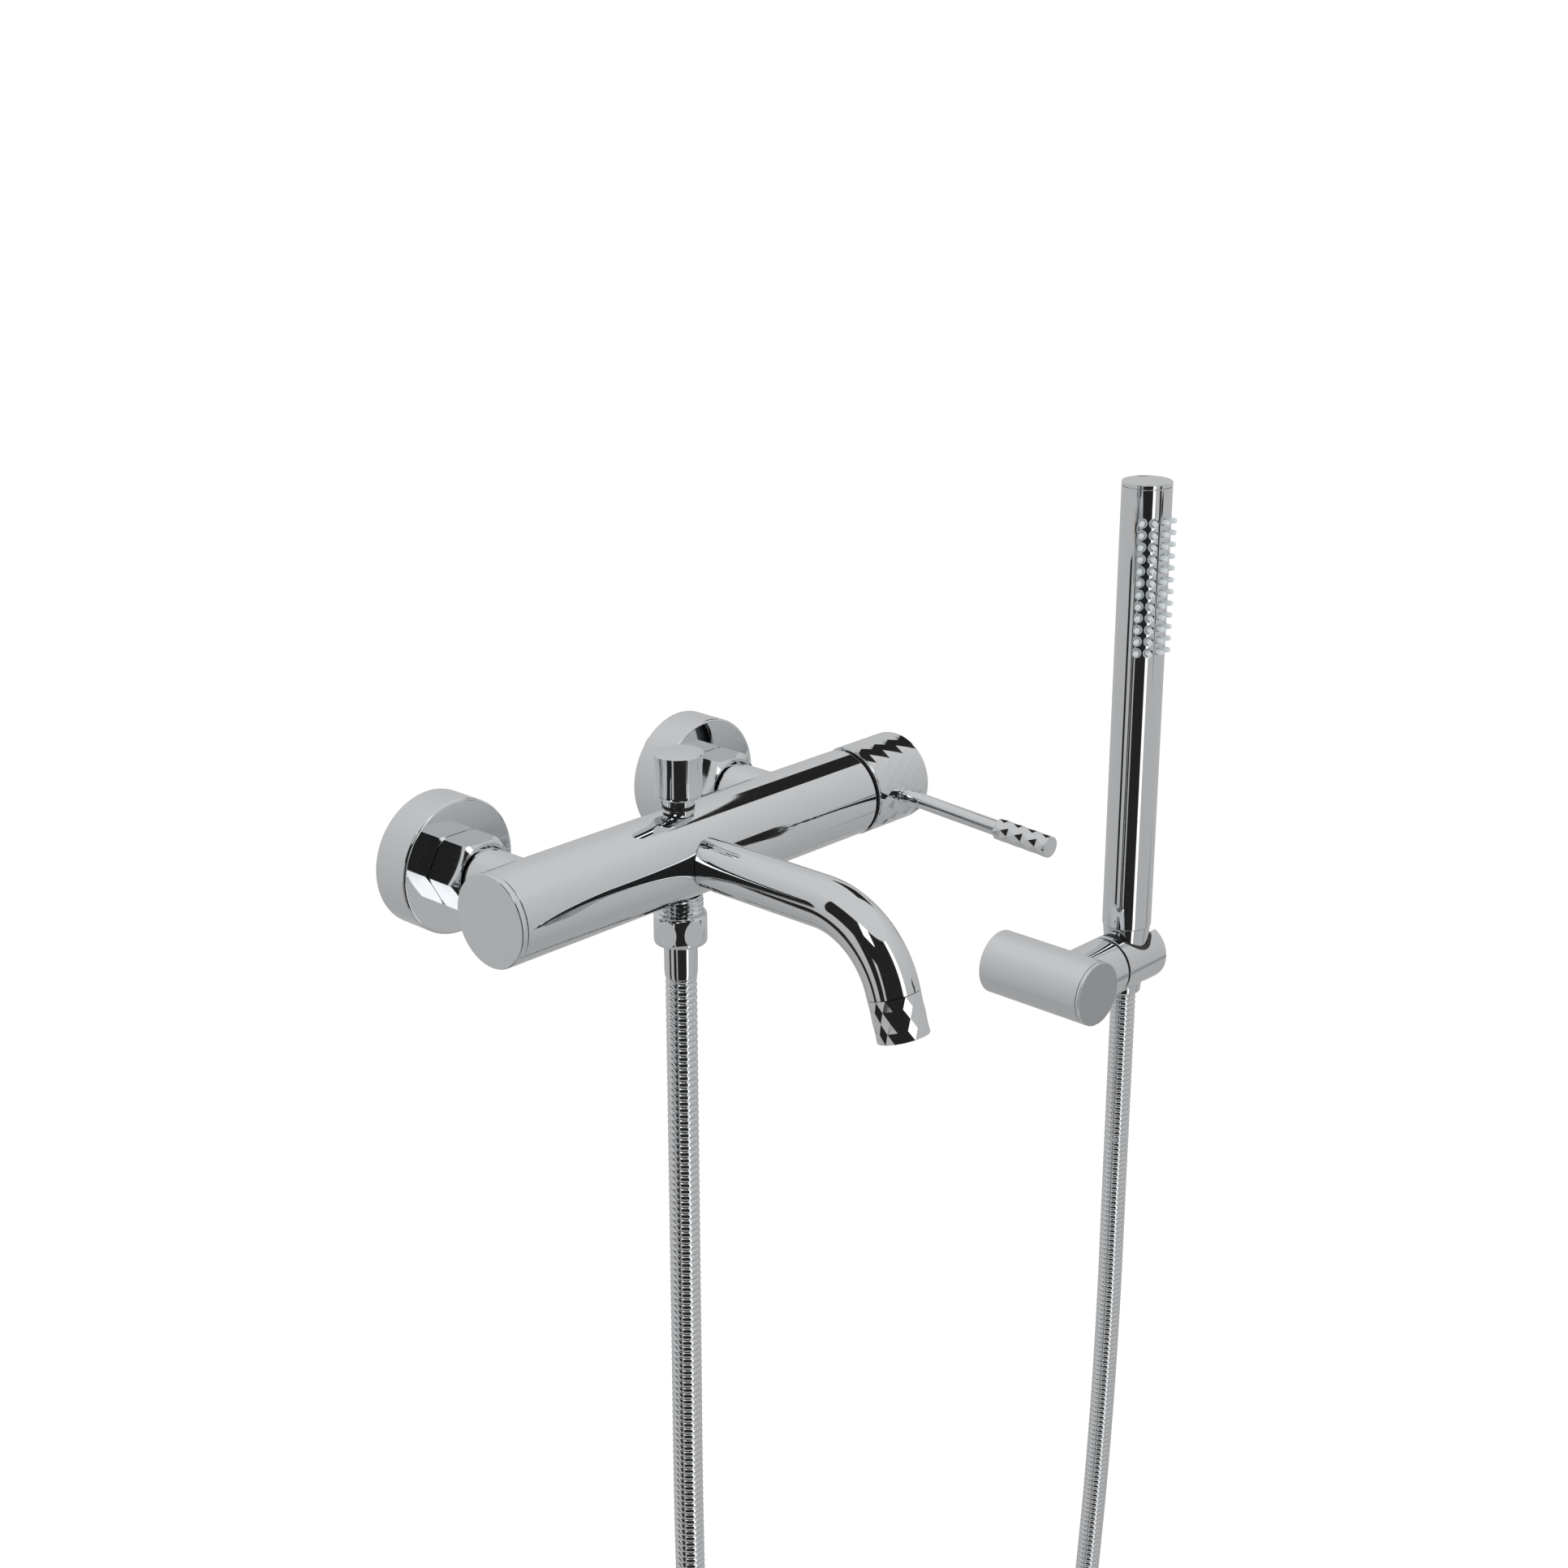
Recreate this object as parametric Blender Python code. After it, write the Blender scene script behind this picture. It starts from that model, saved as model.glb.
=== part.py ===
"""Wall mounted single lever bath mixer with a diverter, a hose, a stick handset and its wall holder.

Millimetres in the constants below, metres in the objects. The wall is the plane Y = 0, the mixer
stands out of it along -Y, +X is to the right of a person who faces the wall, and +Z is up. The origin
lies on the wall, midway between the two inlets, at the height of the mixer's axis.
"""

from math import asin, cos, pi, radians, sin, sqrt

import bmesh
import bpy
from mathutils import Matrix, Vector

mm = 0.001
gap = 0.3                    # air between pieces that seat on each other
fine, medium, small, tiny = 28, 20, 14, 8   # sides of round pieces

# mixer body
inlet_spacing = 150.0
reach = 75.0                 # wall to the axis of the body
body_radius = 20.0
body_left = -inlet_spacing / 2 - 29.0
body_right = inlet_spacing / 2 + 31.0
end_cap_thickness = 2.7
plug_radius, plug_depth = 12.0, 9.0
chamber_radius = body_radius - 2.4
chamber_floor = body_right - 22.0
column_radius = 7.0          # upright bore for the diverter
duct_radius, duct_wall = 2.8, 1.0
port_circle = body_radius - 5.813
# offsets from the body's axis, towards the wall and up. The hot duct passes beside the upright bore.
hot_beside = column_radius + duct_radius + duct_wall
hot_duct = (hot_beside, -sqrt(port_circle ** 2 - hot_beside ** 2))
cold_duct = (12.0, 3.0)
mixed_duct = (-2.0, 6.0)
inlet_bore, inlet_bore_depth = 4.5, 12.0

# inlets
rosette_radius, rosette_depth, rosette_wall = 29.7, 18.6, 1.3
union_radius, union_bore = 13.2, 7.0
stub_radius = union_radius - 0.4
nut_flats = 2 * union_radius + 3.6
nut_back = -rosette_depth - gap
nut_front = nut_back - 16.6
nut_lip = 2.2
union_front = nut_back - 9.6
stub_end = union_front - 2.3  # Y of the face that seals on the union
wall_thread_radius, wall_thread_end = 10.4, 16.0
union_offset = 7.5           # eccentricity of the wall thread

# cartridge, along X
base_thickness, disc_thickness = 4.0, 2.5
cartridge_radius = chamber_radius - 0.4
fixed_disc_radius, moving_disc_radius = cartridge_radius - 2.7, cartridge_radius - 5.7
neck_radius, neck_bore = cartridge_radius - 4.6, cartridge_radius - 6.2
neck_end = body_right + 3.0
pivot_x = body_right + 1.0   # tilt axis of the lever
foot_reach = 10.0            # pivot to the centre of the spindle's foot
pin_radius = 1.5
spindle_radius = 3.9

# handle
cap_start, cap_end = body_right + 2.0, body_right + 36.0
cap_radius = body_radius + 0.5
cap_bore = cap_radius - 1.6
dome_radius = cap_bore - 0.5
cap_sides, cap_bands, cap_rim = 24, 7, 0.9
hub_radius = 8.0
lever_x = (cap_start + cap_end) / 2
lever_radius = 3.55
lever_root, lever_shoulder, lever_end = 5.6, 75.4, 104.0   # from the body's axis
lever_tip_radius, lever_tip_sides, lever_tip_bands, lever_tip_disc = 4.9, 8, 7, 1.3
lever_droop = 3.0            # degrees below level at rest
lift_range = 20.0            # degrees, closed to full flow

# diverter, along Z
bonnet_radius = column_radius - gap
bonnet_bottom, bonnet_top = body_radius - 8.0, body_radius + 5.6
knob_radius, knob_waist, knob_foot = 10.9, 10.1, 10.35
knob_bottom, knob_top = bonnet_top + 0.5, bonnet_top + 19.8
stem_radius, stem_top = 2.5, knob_top - 7.4
valve_radius, valve_bottom, valve_thickness = column_radius - 0.8, -12.7, 2.3
spring_radius, spring_wire, spring_turns = 4.6, 0.5, 6

# shower outlet, along Z
outlet_radius, outlet_bottom = 10.2, -body_radius - 16.0
nipple_radius, nipple_top = column_radius - gap, -13.0
hose_nut_flats, hose_nut_radius = 23.2, 12.5
hose_nut_top, hose_nut_bottom = outlet_bottom + 9.3, outlet_bottom - 4.9
ferrule_radius, ferrule_bottom = 7.35, hose_nut_bottom - 15.7

# spout
spout_radius, spout_bore = 11.1, 8.0
spout_straight = reach + 82.5   # wall to the start of the bend
spout_bend, spout_turn = 40.0, 72.0
spout_end_straight = 1.9
tip_sides, tip_bands, tip_band = 16, 4, 4.5

# handset and holder
handset_x = 375.0
holder_arm_reach = 48.3      # wall to the cradle's axis
holder_z = -173.0
base_to_cradle = 52.0        # between the axes of the wall post and the handset
post_radius, post_bore, post_length = 18.0, 15.5, 68.0
bracket_hole_radius, bracket_hole_offset = 2.4, 8.0   # for the two wall screws, one above the other
arm_radius, arm_length = 16.5, 33.0
cradle_radius, cradle_far = 16.5, 17.0
cradle_slot = 16.0
seam_z = -152.0              # top of the conical nut
cone_top, cone_bottom, cone_length = 13.1, 9.2, 40.0
liner_wall = 1.5
handset_radius, handset_bore, handset_length = 13.5, 12.0, 250.0
handset_turn = -22.0         # degrees about Z at rest
nozzle_rows, nozzle_columns = 12, 4
nozzle_pitch, nozzle_angle, nozzle_first = 6.4, 27.0, 20.0
nozzle_radius, nozzle_hole, nozzle_tip = 1.6, 1.9, 16.9

# hose, 1500 mm in all
hose_radius = 7.0
tail_length = 90.0
# knots of the long run between its two ends: share of the way from mixer to handset, and Z.
# It hangs free in one loop.
hose_route = [
    (0, -95), (0, -160), (0, -240), (0, -330), (0.005, -424), (0.013, -510), (0.035, -588), (0.08, -659),
    (0.165, -719), (0.30, -762), (0.467, -778), (0.64, -770), (0.792, -737), (0.896, -684), (0.955, -614),
    (0.981, -537), (0.995, -458), (1, -390), (1, -330),
]

body_axis = Vector((0, -reach, 0))
X, Y, Z = Vector((1, 0, 0)), Vector((0, 1, 0)), Vector((0, 0, 1))

materials = {
    "chrome": ((0.80, 0.81, 0.82), 0.06, 1.0),
    "brass": ((0.72, 0.55, 0.28), 0.30, 1.0),
    "steel": ((0.60, 0.60, 0.61), 0.25, 1.0),
    "black plastic": ((0.02, 0.02, 0.02), 0.45, 0.0),
    "white plastic": ((0.78, 0.77, 0.72), 0.45, 0.0),
    "ceramic": ((0.85, 0.83, 0.78), 0.20, 0.0),
    "rubber": ((0.03, 0.03, 0.03), 0.70, 0.0),
    "silicone": ((0.55, 0.57, 0.58), 0.50, 0.0),
}


def clear_scene():
    for old in list(bpy.data.objects):
        bpy.data.objects.remove(old)


def paint(obj, kind):
    colour, roughness, metallic = materials[kind]
    material = bpy.data.materials.new(obj.name)
    material.use_nodes = True
    shader = material.node_tree.nodes["Principled BSDF"]
    shader.inputs["Base Color"].default_value = (*colour, 1)
    shader.inputs["Roughness"].default_value = roughness
    shader.inputs["Metallic"].default_value = metallic
    obj.data.materials.append(material)


def turn_to(along, side=None):
    """Rotation that takes local Z to along, and local X as near as it can to side."""
    along = along.normalized()
    side = side or (Z if abs(along.z) < 0.9 else X)
    third = along.cross(side).normalized()
    return Matrix((third.cross(along), third, along)).transposed().to_4x4()


def finish_mesh(name, bm, at, along, side, parent, kind):
    """Turns a bmesh in millimetres into an object. at is a point in the world, in millimetres."""
    bmesh.ops.recalc_face_normals(bm, faces=bm.faces)
    bmesh.ops.scale(bm, vec=(mm, mm, mm), verts=bm.verts)
    mesh = bpy.data.meshes.new(name)
    bm.to_mesh(mesh)
    bm.free()
    mesh.shade_smooth()
    mesh.set_sharp_from_angle(angle=radians(30))
    obj = bpy.data.objects.new(name, mesh)
    bpy.context.scene.collection.objects.link(obj)
    rest = Matrix.Translation(Vector(at) * mm) @ turn_to(along, side)
    if parent:
        obj.parent = parent
        rest = Matrix.Translation(-parent.location) @ rest
    obj.matrix_local = rest
    if kind == "cutter":
        obj.hide_render = True
        obj.display_type = "WIRE"
    else:
        paint(obj, kind)
    return obj


def loft(bm, rings):
    """Skins closed loops of points one after the other. A loop of one point is a pole."""
    loops = [[bm.verts.new(point) for point in ring] for ring in rings]
    for low, high in zip(loops, loops[1:] + loops[:1]):
        count = max(len(low), len(high))
        if count == 1:
            continue
        for i in range(count):
            j = (i + 1) % count
            if len(low) == 1:
                bm.faces.new((low[0], high[i], high[j]))
            elif len(high) == 1:
                bm.faces.new((low[i], low[j], high[0]))
            else:
                bm.faces.new((low[i], low[j], high[j], high[i]))


def ring(radius, height, sides, turn=0.0):
    if radius == 0:
        return [(0, 0, height)]
    return [(radius * cos(2 * pi * (i + turn) / sides), radius * sin(2 * pi * (i + turn) / sides), height)
            for i in range(sides)]


def add_turned(bm, outline, place, sides):
    """Adds a closed turned body to bm, with its axis on the local Z of place."""
    loft(bm, [[place @ Vector(point) for point in ring(radius, height, sides)] for radius, height in outline])


def turned(name, outline, at, along, sides, kind, parent=None, side=None):
    """A lathe part: closed outline of (radius, height) corners, turned about the axis along."""
    bm = bmesh.new()
    # a tool is turned a little, so that its corners don't fall on the corners of what it cuts
    turn = 0.37 if kind == "cutter" and sides > 6 else 0.0
    loft(bm, [ring(radius, height, sides, turn) for radius, height in outline])
    return finish_mesh(name, bm, at, along, side, parent, kind)


def rod(name, radius, low, high, at, along, sides, kind, parent=None, side=None):
    outline = [(0, low), (radius, low), (radius, high), (0, high)]
    return turned(name, outline, at, along, sides, kind, parent, side)


def tube(name, outer, inner, low, high, at, along, sides, kind, parent=None):
    outline = [(inner, low), (outer, low), (outer, high), (inner, high)]
    return turned(name, outline, at, along, sides, kind, parent)


def block(name, size, at, kind, parent=None, along=Z, side=X):
    bm = bmesh.new()
    bmesh.ops.create_cube(bm, size=1)
    bmesh.ops.scale(bm, vec=size, verts=bm.verts)
    return finish_mesh(name, bm, at, along, side, parent, kind)


def combine(obj, operation, tools):
    for tool in tools:
        step = obj.modifiers.new(tool.name, "BOOLEAN")
        step.operation = operation
        step.solver = "EXACT"
        step.object = tool


def lantern(name, radius, sides, bands, band, low, at, along, kind, parent=None, side=None):
    """A solid faceted like a diamond file: rings of corners on one cylinder, each turned half a step."""
    bm = bmesh.new()
    loops = [[bm.verts.new(point) for point in ring(radius, low + band * i, sides, 0.5 * (i % 2))]
             for i in range(bands + 1)]
    for i, (lower, upper) in enumerate(zip(loops, loops[1:])):
        for j in range(sides):
            k = (j + 1) % sides
            if i % 2 == 0:
                bm.faces.new((lower[j], lower[k], upper[j]))
                bm.faces.new((lower[k], upper[k], upper[j]))
            else:
                bm.faces.new((lower[j], upper[k], upper[j]))
                bm.faces.new((lower[j], lower[k], upper[k]))
    bm.faces.new(loops[0])
    bm.faces.new(loops[-1])
    return finish_mesh(name, bm, at, along, side, parent, kind)


def swept(name, path, outer, inner, sides, kind):
    """A pipe along a path of (Y, Z) points in the plane X = 0, square to the path at both ends."""
    rings = []
    for index, (y, z) in enumerate(path):
        before, after = path[max(index - 1, 0)], path[min(index + 1, len(path) - 1)]
        slope = Vector((0, after[0] - before[0], after[1] - before[1])).normalized()
        across = X.cross(slope)
        rings.append([Vector((0, y, z)), across])
    bm = bmesh.new()
    angles = [2 * pi * i / sides for i in range(sides)]
    skin = [[centre + (X * cos(a) + across * sin(a)) * outer for a in angles] for centre, across in rings]
    lining = [[centre + (X * cos(a) + across * sin(a)) * inner for a in angles] for centre, across in rings]
    loft(bm, skin + lining[::-1])
    return finish_mesh(name, bm, (0, 0, 0), Z, X, None, kind)


def empty(name, at, tilt=0.0):
    """An axis that moving pieces hang on. tilt turns it about X, in degrees."""
    holder = bpy.data.objects.new(name, None)
    holder.location = Vector(at) * mm
    holder.rotation_euler = (radians(tilt), 0, 0)
    bpy.context.scene.collection.objects.link(holder)
    return holder


def across_body(x, y=0.0, z=0.0):
    """A point from its place along the body and its offsets from the body's axis."""
    return body_axis + Vector((x, y, z))


def make_body():
    body = rod("mixer_body", body_radius, body_left, body_right, body_axis, X, fine, "chrome")
    inlets = []
    for place in (-inlet_spacing / 2, inlet_spacing / 2):
        # the flange that seals, the groove that the nut turns in, and the plain neck
        flange, groove = stub_end - 2.2, nut_front - 0.8
        outline = [(0, stub_end), (stub_radius, stub_end), (stub_radius, flange), (stub_radius - 1.5, flange),
                   (stub_radius - 1.5, groove), (stub_radius, groove), (stub_radius, -reach + 6),
                   (0, -reach + 6)]
        inlets.append(turned("inlet", outline, (place, 0, 0), Y, medium, "cutter"))
    combine(body, "UNION", inlets)
    floor, start = chamber_floor, -inlet_spacing / 2
    cuts = [
        rod("chamber", chamber_radius, floor, body_right + 1, body_axis, X, medium, "cutter"),
        rod("plug_bore", plug_radius + gap, body_left - 1, body_left + plug_depth, body_axis, X, medium,
            "cutter"),
        rod("column", column_radius, -body_radius - 1, body_radius + 1, body_axis, Z, small, "cutter"),
        rod("spout_socket", spout_bore + 1, -body_radius - 1, 0, body_axis, Y, medium, "cutter"),
        rod("hot_way", duct_radius, start - duct_radius, floor + 1, across_body(0, *hot_duct), X, tiny,
            "cutter"),
        rod("cold_way", duct_radius, -start - duct_radius, floor + 1, across_body(0, *cold_duct), X, tiny,
            "cutter"),
        rod("mixed_way", duct_radius, 0, floor + 1, across_body(0, *mixed_duct), X, tiny, "cutter"),
        rod("hot_drop", duct_radius - 0.3, hot_duct[1], 1, across_body(start, hot_duct[0]), Z, tiny,
            "cutter"),
    ]
    for place in (start, -start):
        cuts.append(rod("inlet_way", inlet_bore, -reach + inlet_bore_depth, stub_end + 1, (place, 0, 0), Y,
                        tiny,
                        "cutter"))
    combine(body, "DIFFERENCE", cuts)

    face = body_left - gap
    outline = [(0, face - end_cap_thickness), (body_radius - 0.3, face - end_cap_thickness),
               (body_radius, face - end_cap_thickness + 0.3), (body_radius, face), (plug_radius, face),
               (plug_radius, body_left + plug_depth - 1), (0, body_left + plug_depth - 1)]
    turned("body_end_cap", outline, body_axis, X, fine, "chrome")


def hexagon(name, flats, low, high, at, along, side):
    return rod(name, flats / sqrt(3), low, high, at, along, 6, "cutter", side=side)


def make_nut(name, flats, crown, steps, low, high, at, along, side):
    """A hexagon nut: crown is its turned outline, and steps are the (radius, low, high) of its bores."""
    nut = turned(name, crown, at, along, medium, "chrome")
    combine(nut, "INTERSECT", [hexagon(name + "_flats", flats, low - 1, high + 1, at, along, side)])
    combine(nut, "DIFFERENCE", [rod(name + "_bore", radius, start, end, at, along, medium, "cutter")
                                for radius, start, end in steps])


def make_inlets():
    for side_name, place in (("left", -inlet_spacing / 2), ("right", inlet_spacing / 2)):
        at = (place, 0, 0)
        union = rod("union_" + side_name, union_radius, union_front, -3, at, Y, medium, "brass")
        offset = (place, 0, union_offset)
        thread = rod("wall_thread", wall_thread_radius, -5, wall_thread_end, offset, Y, medium, "cutter")
        combine(union, "UNION", [thread])
        combine(union, "DIFFERENCE", [
            rod("union_bore", union_bore, union_front - 1, -4.5, at, Y, small, "cutter"),
            rod("thread_bore", union_bore, -9, wall_thread_end + 1, offset, Y, small, "cutter")])

        inside, hole = rosette_radius - rosette_wall, union_radius + 0.4
        front, back = -rosette_depth, -rosette_depth + rosette_wall
        outline = [(rosette_radius, 0), (rosette_radius, front + 0.8), (rosette_radius - 0.8, front),
                   (hole, front),
                   (hole, back), (inside, back), (inside, 0)]
        turned("rosette_" + side_name, outline, at, Y, fine, "chrome")

        tube("inlet_washer_" + side_name, stub_radius, 8.0, stub_end + gap, union_front - gap, at, Y, medium,
             "rubber")

        low, high, corner = nut_front, nut_back, nut_flats / sqrt(3) - 0.08
        crown = [(0, low), (nut_flats / 2 - 0.4, low), (corner, low + 1.9), (corner, high - 1.2),
                 (corner - 1.6, high), (0, high)]
        steps = [(union_radius + gap, low + nut_lip, high + 1),
                 (stub_radius - 1.2, low - 1, low + nut_lip + 0.1)]
        make_nut("union_nut_" + side_name, nut_flats, crown, steps, low, high, at, Y, X)


def ports(prefix, radius, low, high):
    return [rod(prefix + name, radius, low, high, across_body(0, *offset), X, tiny, "cutter")
            for name, offset in (("_hot", hot_duct), ("_cold", cold_duct), ("_mixed", mixed_duct))]


def make_cartridge(turn_axis, disc_axis):
    x = chamber_floor + gap
    seal = rod("cartridge_seal", cartridge_radius, x, x + 1, body_axis, X, medium, "rubber")
    combine(seal, "DIFFERENCE", ports("seal_port", duct_radius - 0.4, x - 1, x + 2))
    x += 1 + gap
    base = rod("cartridge_base", cartridge_radius, x, x + base_thickness, body_axis, X, medium,
               "white plastic")
    combine(base, "DIFFERENCE", ports("base_port", duct_radius - 0.5, x - 1, x + base_thickness + 1))
    x += base_thickness + gap
    shell_start = x
    # the ceramic discs bring the three ways closer to the middle than the base does
    plate = rod("fixed_disc", fixed_disc_radius, x, x + disc_thickness, body_axis, X, medium, "ceramic")
    eyes = [rod("disc_eye", 2.2, x - 1, x + disc_thickness + 1,
                across_body(0, 7.5 * cos(turn), 7.5 * sin(turn)),
                X, tiny, "cutter") for turn in (0.7, 2.8, 4.9)]
    combine(plate, "DIFFERENCE", eyes)
    x += disc_thickness + gap
    moving = rod("moving_disc", moving_disc_radius, x, x + disc_thickness, body_axis, X, medium, "ceramic",
                 disc_axis)
    pocket = rod("mixing_pocket", 6.5, x - 1, x + 1.2, body_axis, X, small, "cutter", disc_axis)
    combine(moving, "DIFFERENCE", [pocket])
    x += disc_thickness + gap
    foot = pivot_x - foot_reach
    tube("disc_carrier", moving_disc_radius, 4.0, x, foot + 2, body_axis, X, medium, "white plastic",
         disc_axis)

    rotor_start, shoulder = foot + 2 + gap, foot + 2 + gap + 0.4
    wall = fixed_disc_radius + 0.9
    outline = [(wall, shell_start), (cartridge_radius, shell_start), (cartridge_radius, shoulder + 2),
               (neck_radius, shoulder + 2), (neck_radius, neck_end), (neck_bore, neck_end),
               (neck_bore, shoulder),
               (wall, shoulder)]
    turned("cartridge_housing", outline, body_axis, X, medium, "white plastic")
    tube("retaining_nut", cartridge_radius, neck_radius + gap, shoulder + 2 + gap, cap_start - 0.7,
         body_axis, X, medium, "brass")

    rotor = rod("cartridge_rotor", neck_bore - gap, rotor_start, neck_end + 2, body_axis, X, medium,
                "black plastic", turn_axis)
    slot = block("rotor_slot", (2 * spindle_radius + 0.8, 16.4, 40), across_body(pivot_x), "cutter",
                 turn_axis, X, Z)
    pin_hole = rod("rotor_pin_hole", pin_radius + gap, -20, 20, across_body(pivot_x), Z, tiny, "cutter",
                   turn_axis)
    combine(rotor, "DIFFERENCE", [slot, pin_hole])
    reach_in = sqrt((neck_bore - gap) ** 2 - pin_radius ** 2) - 0.3
    rod("tilt_pin", pin_radius, -reach_in, reach_in, across_body(pivot_x), Z, tiny, "steel", turn_axis)

    # black collar: a ring in the gap between body and handle, and a dome round the tilt pivot
    lip, hole = body_right + gap, neck_radius + 0.6
    steps = 5
    last = asin(sqrt(dome_radius ** 2 - (hole + 0.4) ** 2) / dome_radius)
    arc = [(dome_radius * cos(last * i / steps), pivot_x + dome_radius * sin(last * i / steps))
           for i in range(steps + 1)]
    outline = [(cartridge_radius + gap, lip), (dome_radius, lip)] + arc
    outline += [(hole, arc[-1][1]), (hole, cap_start - 0.4), (cartridge_radius + gap, cap_start - 0.4)]
    turned("dome_collar", outline, body_axis, X, fine, "black plastic")


def make_handle(lift_axis):
    top = cap_end - 4.0
    band = (cap_end - cap_start - 2 * cap_rim) / cap_bands
    cap = lantern("handle_cap", cap_radius, cap_sides, cap_bands, band, cap_start + cap_rim, body_axis, X,
                  "chrome", lift_axis)
    rims = [rod("rim", cap_radius - 0.25, low, low + cap_rim + 0.1, body_axis, X, fine, "cutter", lift_axis)
            for low in (cap_start, cap_end - cap_rim - 0.1)]
    combine(cap, "UNION", rims)
    hub_start = lever_x - lever_radius - 1
    hollow = turned("cap_hollow", [(0, cap_start - 1), (cap_bore, cap_start - 1), (cap_bore, top),
                                   (hub_radius, top),
                                   (hub_radius, hub_start), (0, hub_start)], body_axis, X, fine, "cutter",
                                   lift_axis)
    spindle_end = top - 3.5
    bore = rod("hub_bore", spindle_radius + gap, hub_start - 1, spindle_end + gap, body_axis, X, small,
               "cutter",
               lift_axis)
    lever_hole = rod("lever_hole", lever_radius + gap, -cap_radius - 1, -lever_root + gap,
                     across_body(lever_x), Y,
                     small, "cutter", lift_axis)
    screw_hole = rod("screw_hole", 2.3, -cap_radius - 1, -spindle_radius, across_body(lever_x), Z, tiny,
                     "cutter",
                     lift_axis)
    # the rim on the wall side is cut back, so that the cap can tip over the collar
    relief = block("rim_relief", (60, 60, 60), (0, 0, 0), "cutter", lift_axis)
    corner = Vector((cap_start - pivot_x, 2, 0)) * mm
    lean = Matrix.Rotation(-radians(lift_range + 1.5), 4, "Z")
    relief.matrix_local = Matrix.Translation(corner) @ lean @ Matrix.Translation(Vector((-30, 30, 0)) * mm)
    combine(cap, "DIFFERENCE", [hollow, bore, lever_hole, screw_hole, relief])

    foot = pivot_x - foot_reach
    outline = [(0, foot - 1.2), (3.0, foot - 1.2), (3.4, foot), (3.0, foot + 1.4), (2.4, foot + 2.6),
               (2.4, pivot_x - 4.5), (spindle_radius, pivot_x - 3), (spindle_radius, spindle_end),
               (0, spindle_end)]
    spindle = turned("spindle", outline, body_axis, X, small, "brass", lift_axis)
    combine(spindle, "DIFFERENCE", [rod("spindle_eye", pin_radius + gap, -9, 9, across_body(pivot_x), Z, tiny,
                                        "cutter", lift_axis)])

    rod("handle_grub_screw", 2.0, -hub_radius, -spindle_radius - gap - 0.3, across_body(lever_x), Z, tiny,
        "steel",
        lift_axis)

    nose = lever_shoulder + 6
    shoulder = -lever_shoulder + gap
    outline = [(0, -nose), (2.3, -nose), (2.3, shoulder), (lever_radius, shoulder),
               (lever_radius, -lever_root),
               (0, -lever_root)]
    turned("lever_rod", outline, across_body(lever_x), Y, small, "chrome", lift_axis)
    band = (lever_end - lever_shoulder - lever_tip_disc) / lever_tip_bands
    tip = lantern("lever_tip", lever_tip_radius, lever_tip_sides, lever_tip_bands, band, lever_shoulder,
                  across_body(lever_x), -Y, "chrome", lift_axis, Z)
    disc = rod("tip_disc", lever_tip_radius - 0.1, lever_end - lever_tip_disc - 0.1, lever_end,
               across_body(lever_x), -Y, small, "cutter", lift_axis)
    combine(tip, "UNION", [disc])
    bore = rod("tip_bore", 2.6, lever_shoulder - 1, nose + gap, across_body(lever_x), -Y, small, "cutter",
               lift_axis)
    combine(tip, "DIFFERENCE", [bore])


def make_diverter(pull_axis):
    at = body_axis
    groove = bonnet_radius - 1.0
    start = body_radius + 0.7
    outline = [(stem_radius + gap, bonnet_bottom), (bonnet_radius, bonnet_bottom), (bonnet_radius, start),
               (groove, start), (groove, start + 1.6), (bonnet_radius, start + 1.6),
               (bonnet_radius, bonnet_top),
               (stem_radius + gap, bonnet_top)]
    turned("diverter_bonnet", outline, at, Z, small, "chrome")
    tube("bonnet_ring", bonnet_radius + 0.2, groove + gap, start + gap, start + 1.6 - gap, at, Z, small,
         "rubber")

    seat = valve_bottom + valve_thickness + gap
    plate = seat + 2.0
    turned("diverter_stem", [(0, seat), (valve_radius, seat), (valve_radius, plate), (stem_radius, plate),
                             (stem_radius, stem_top), (0, stem_top)], at, Z, small, "brass", pull_axis)
    rod("diverter_seal", valve_radius, valve_bottom, valve_bottom + valve_thickness, at, Z, small, "rubber",
        pull_axis)
    bend = [(knob_foot - 0.6, knob_bottom), (knob_foot, knob_bottom + 0.6),
            (knob_waist + 0.1, knob_bottom + 4),
            (knob_waist, knob_bottom + 9), (knob_waist + 0.25, knob_bottom + 14),
            (knob_radius, knob_top - 0.3),
            (knob_radius - 0.3, knob_top), (0, knob_top + 0.9)]
    bore = stem_radius + gap
    outline = [(bore, knob_bottom)] + bend + [(0, stem_top + gap), (bore, stem_top + gap)]
    turned("diverter_knob", outline, at, Z, medium, "chrome", pull_axis)

    low, high = plate + gap + spring_wire, bonnet_bottom - gap - spring_wire
    count = spring_turns * tiny
    helix = [Vector((spring_radius * cos(2 * pi * i / tiny), spring_radius * sin(2 * pi * i / tiny) - reach,
                     low + (high - low) * i / count)) for i in range(count + 1)]
    wire("diverter_spring", helix, spring_wire, 0, "steel")


def wire(name, points, radius, resolution, kind, parent=None):
    """A round wire or hose through points in millimetres, flat at both ends."""
    curve = bpy.data.curves.new(name, "CURVE")
    curve.dimensions = "3D"
    curve.bevel_depth = radius * mm
    curve.bevel_resolution = resolution
    curve.use_fill_caps = True
    line = curve.splines.new("POLY")
    line.points.add(len(points) - 1)
    base = parent.location if parent else Vector((0, 0, 0))
    for knot, point in zip(line.points, points):
        knot.co = (*(Vector(point) * mm - base), 1)
    obj = bpy.data.objects.new(name, curve)
    bpy.context.scene.collection.objects.link(obj)
    obj.parent = parent
    paint(obj, kind)
    return obj


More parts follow.
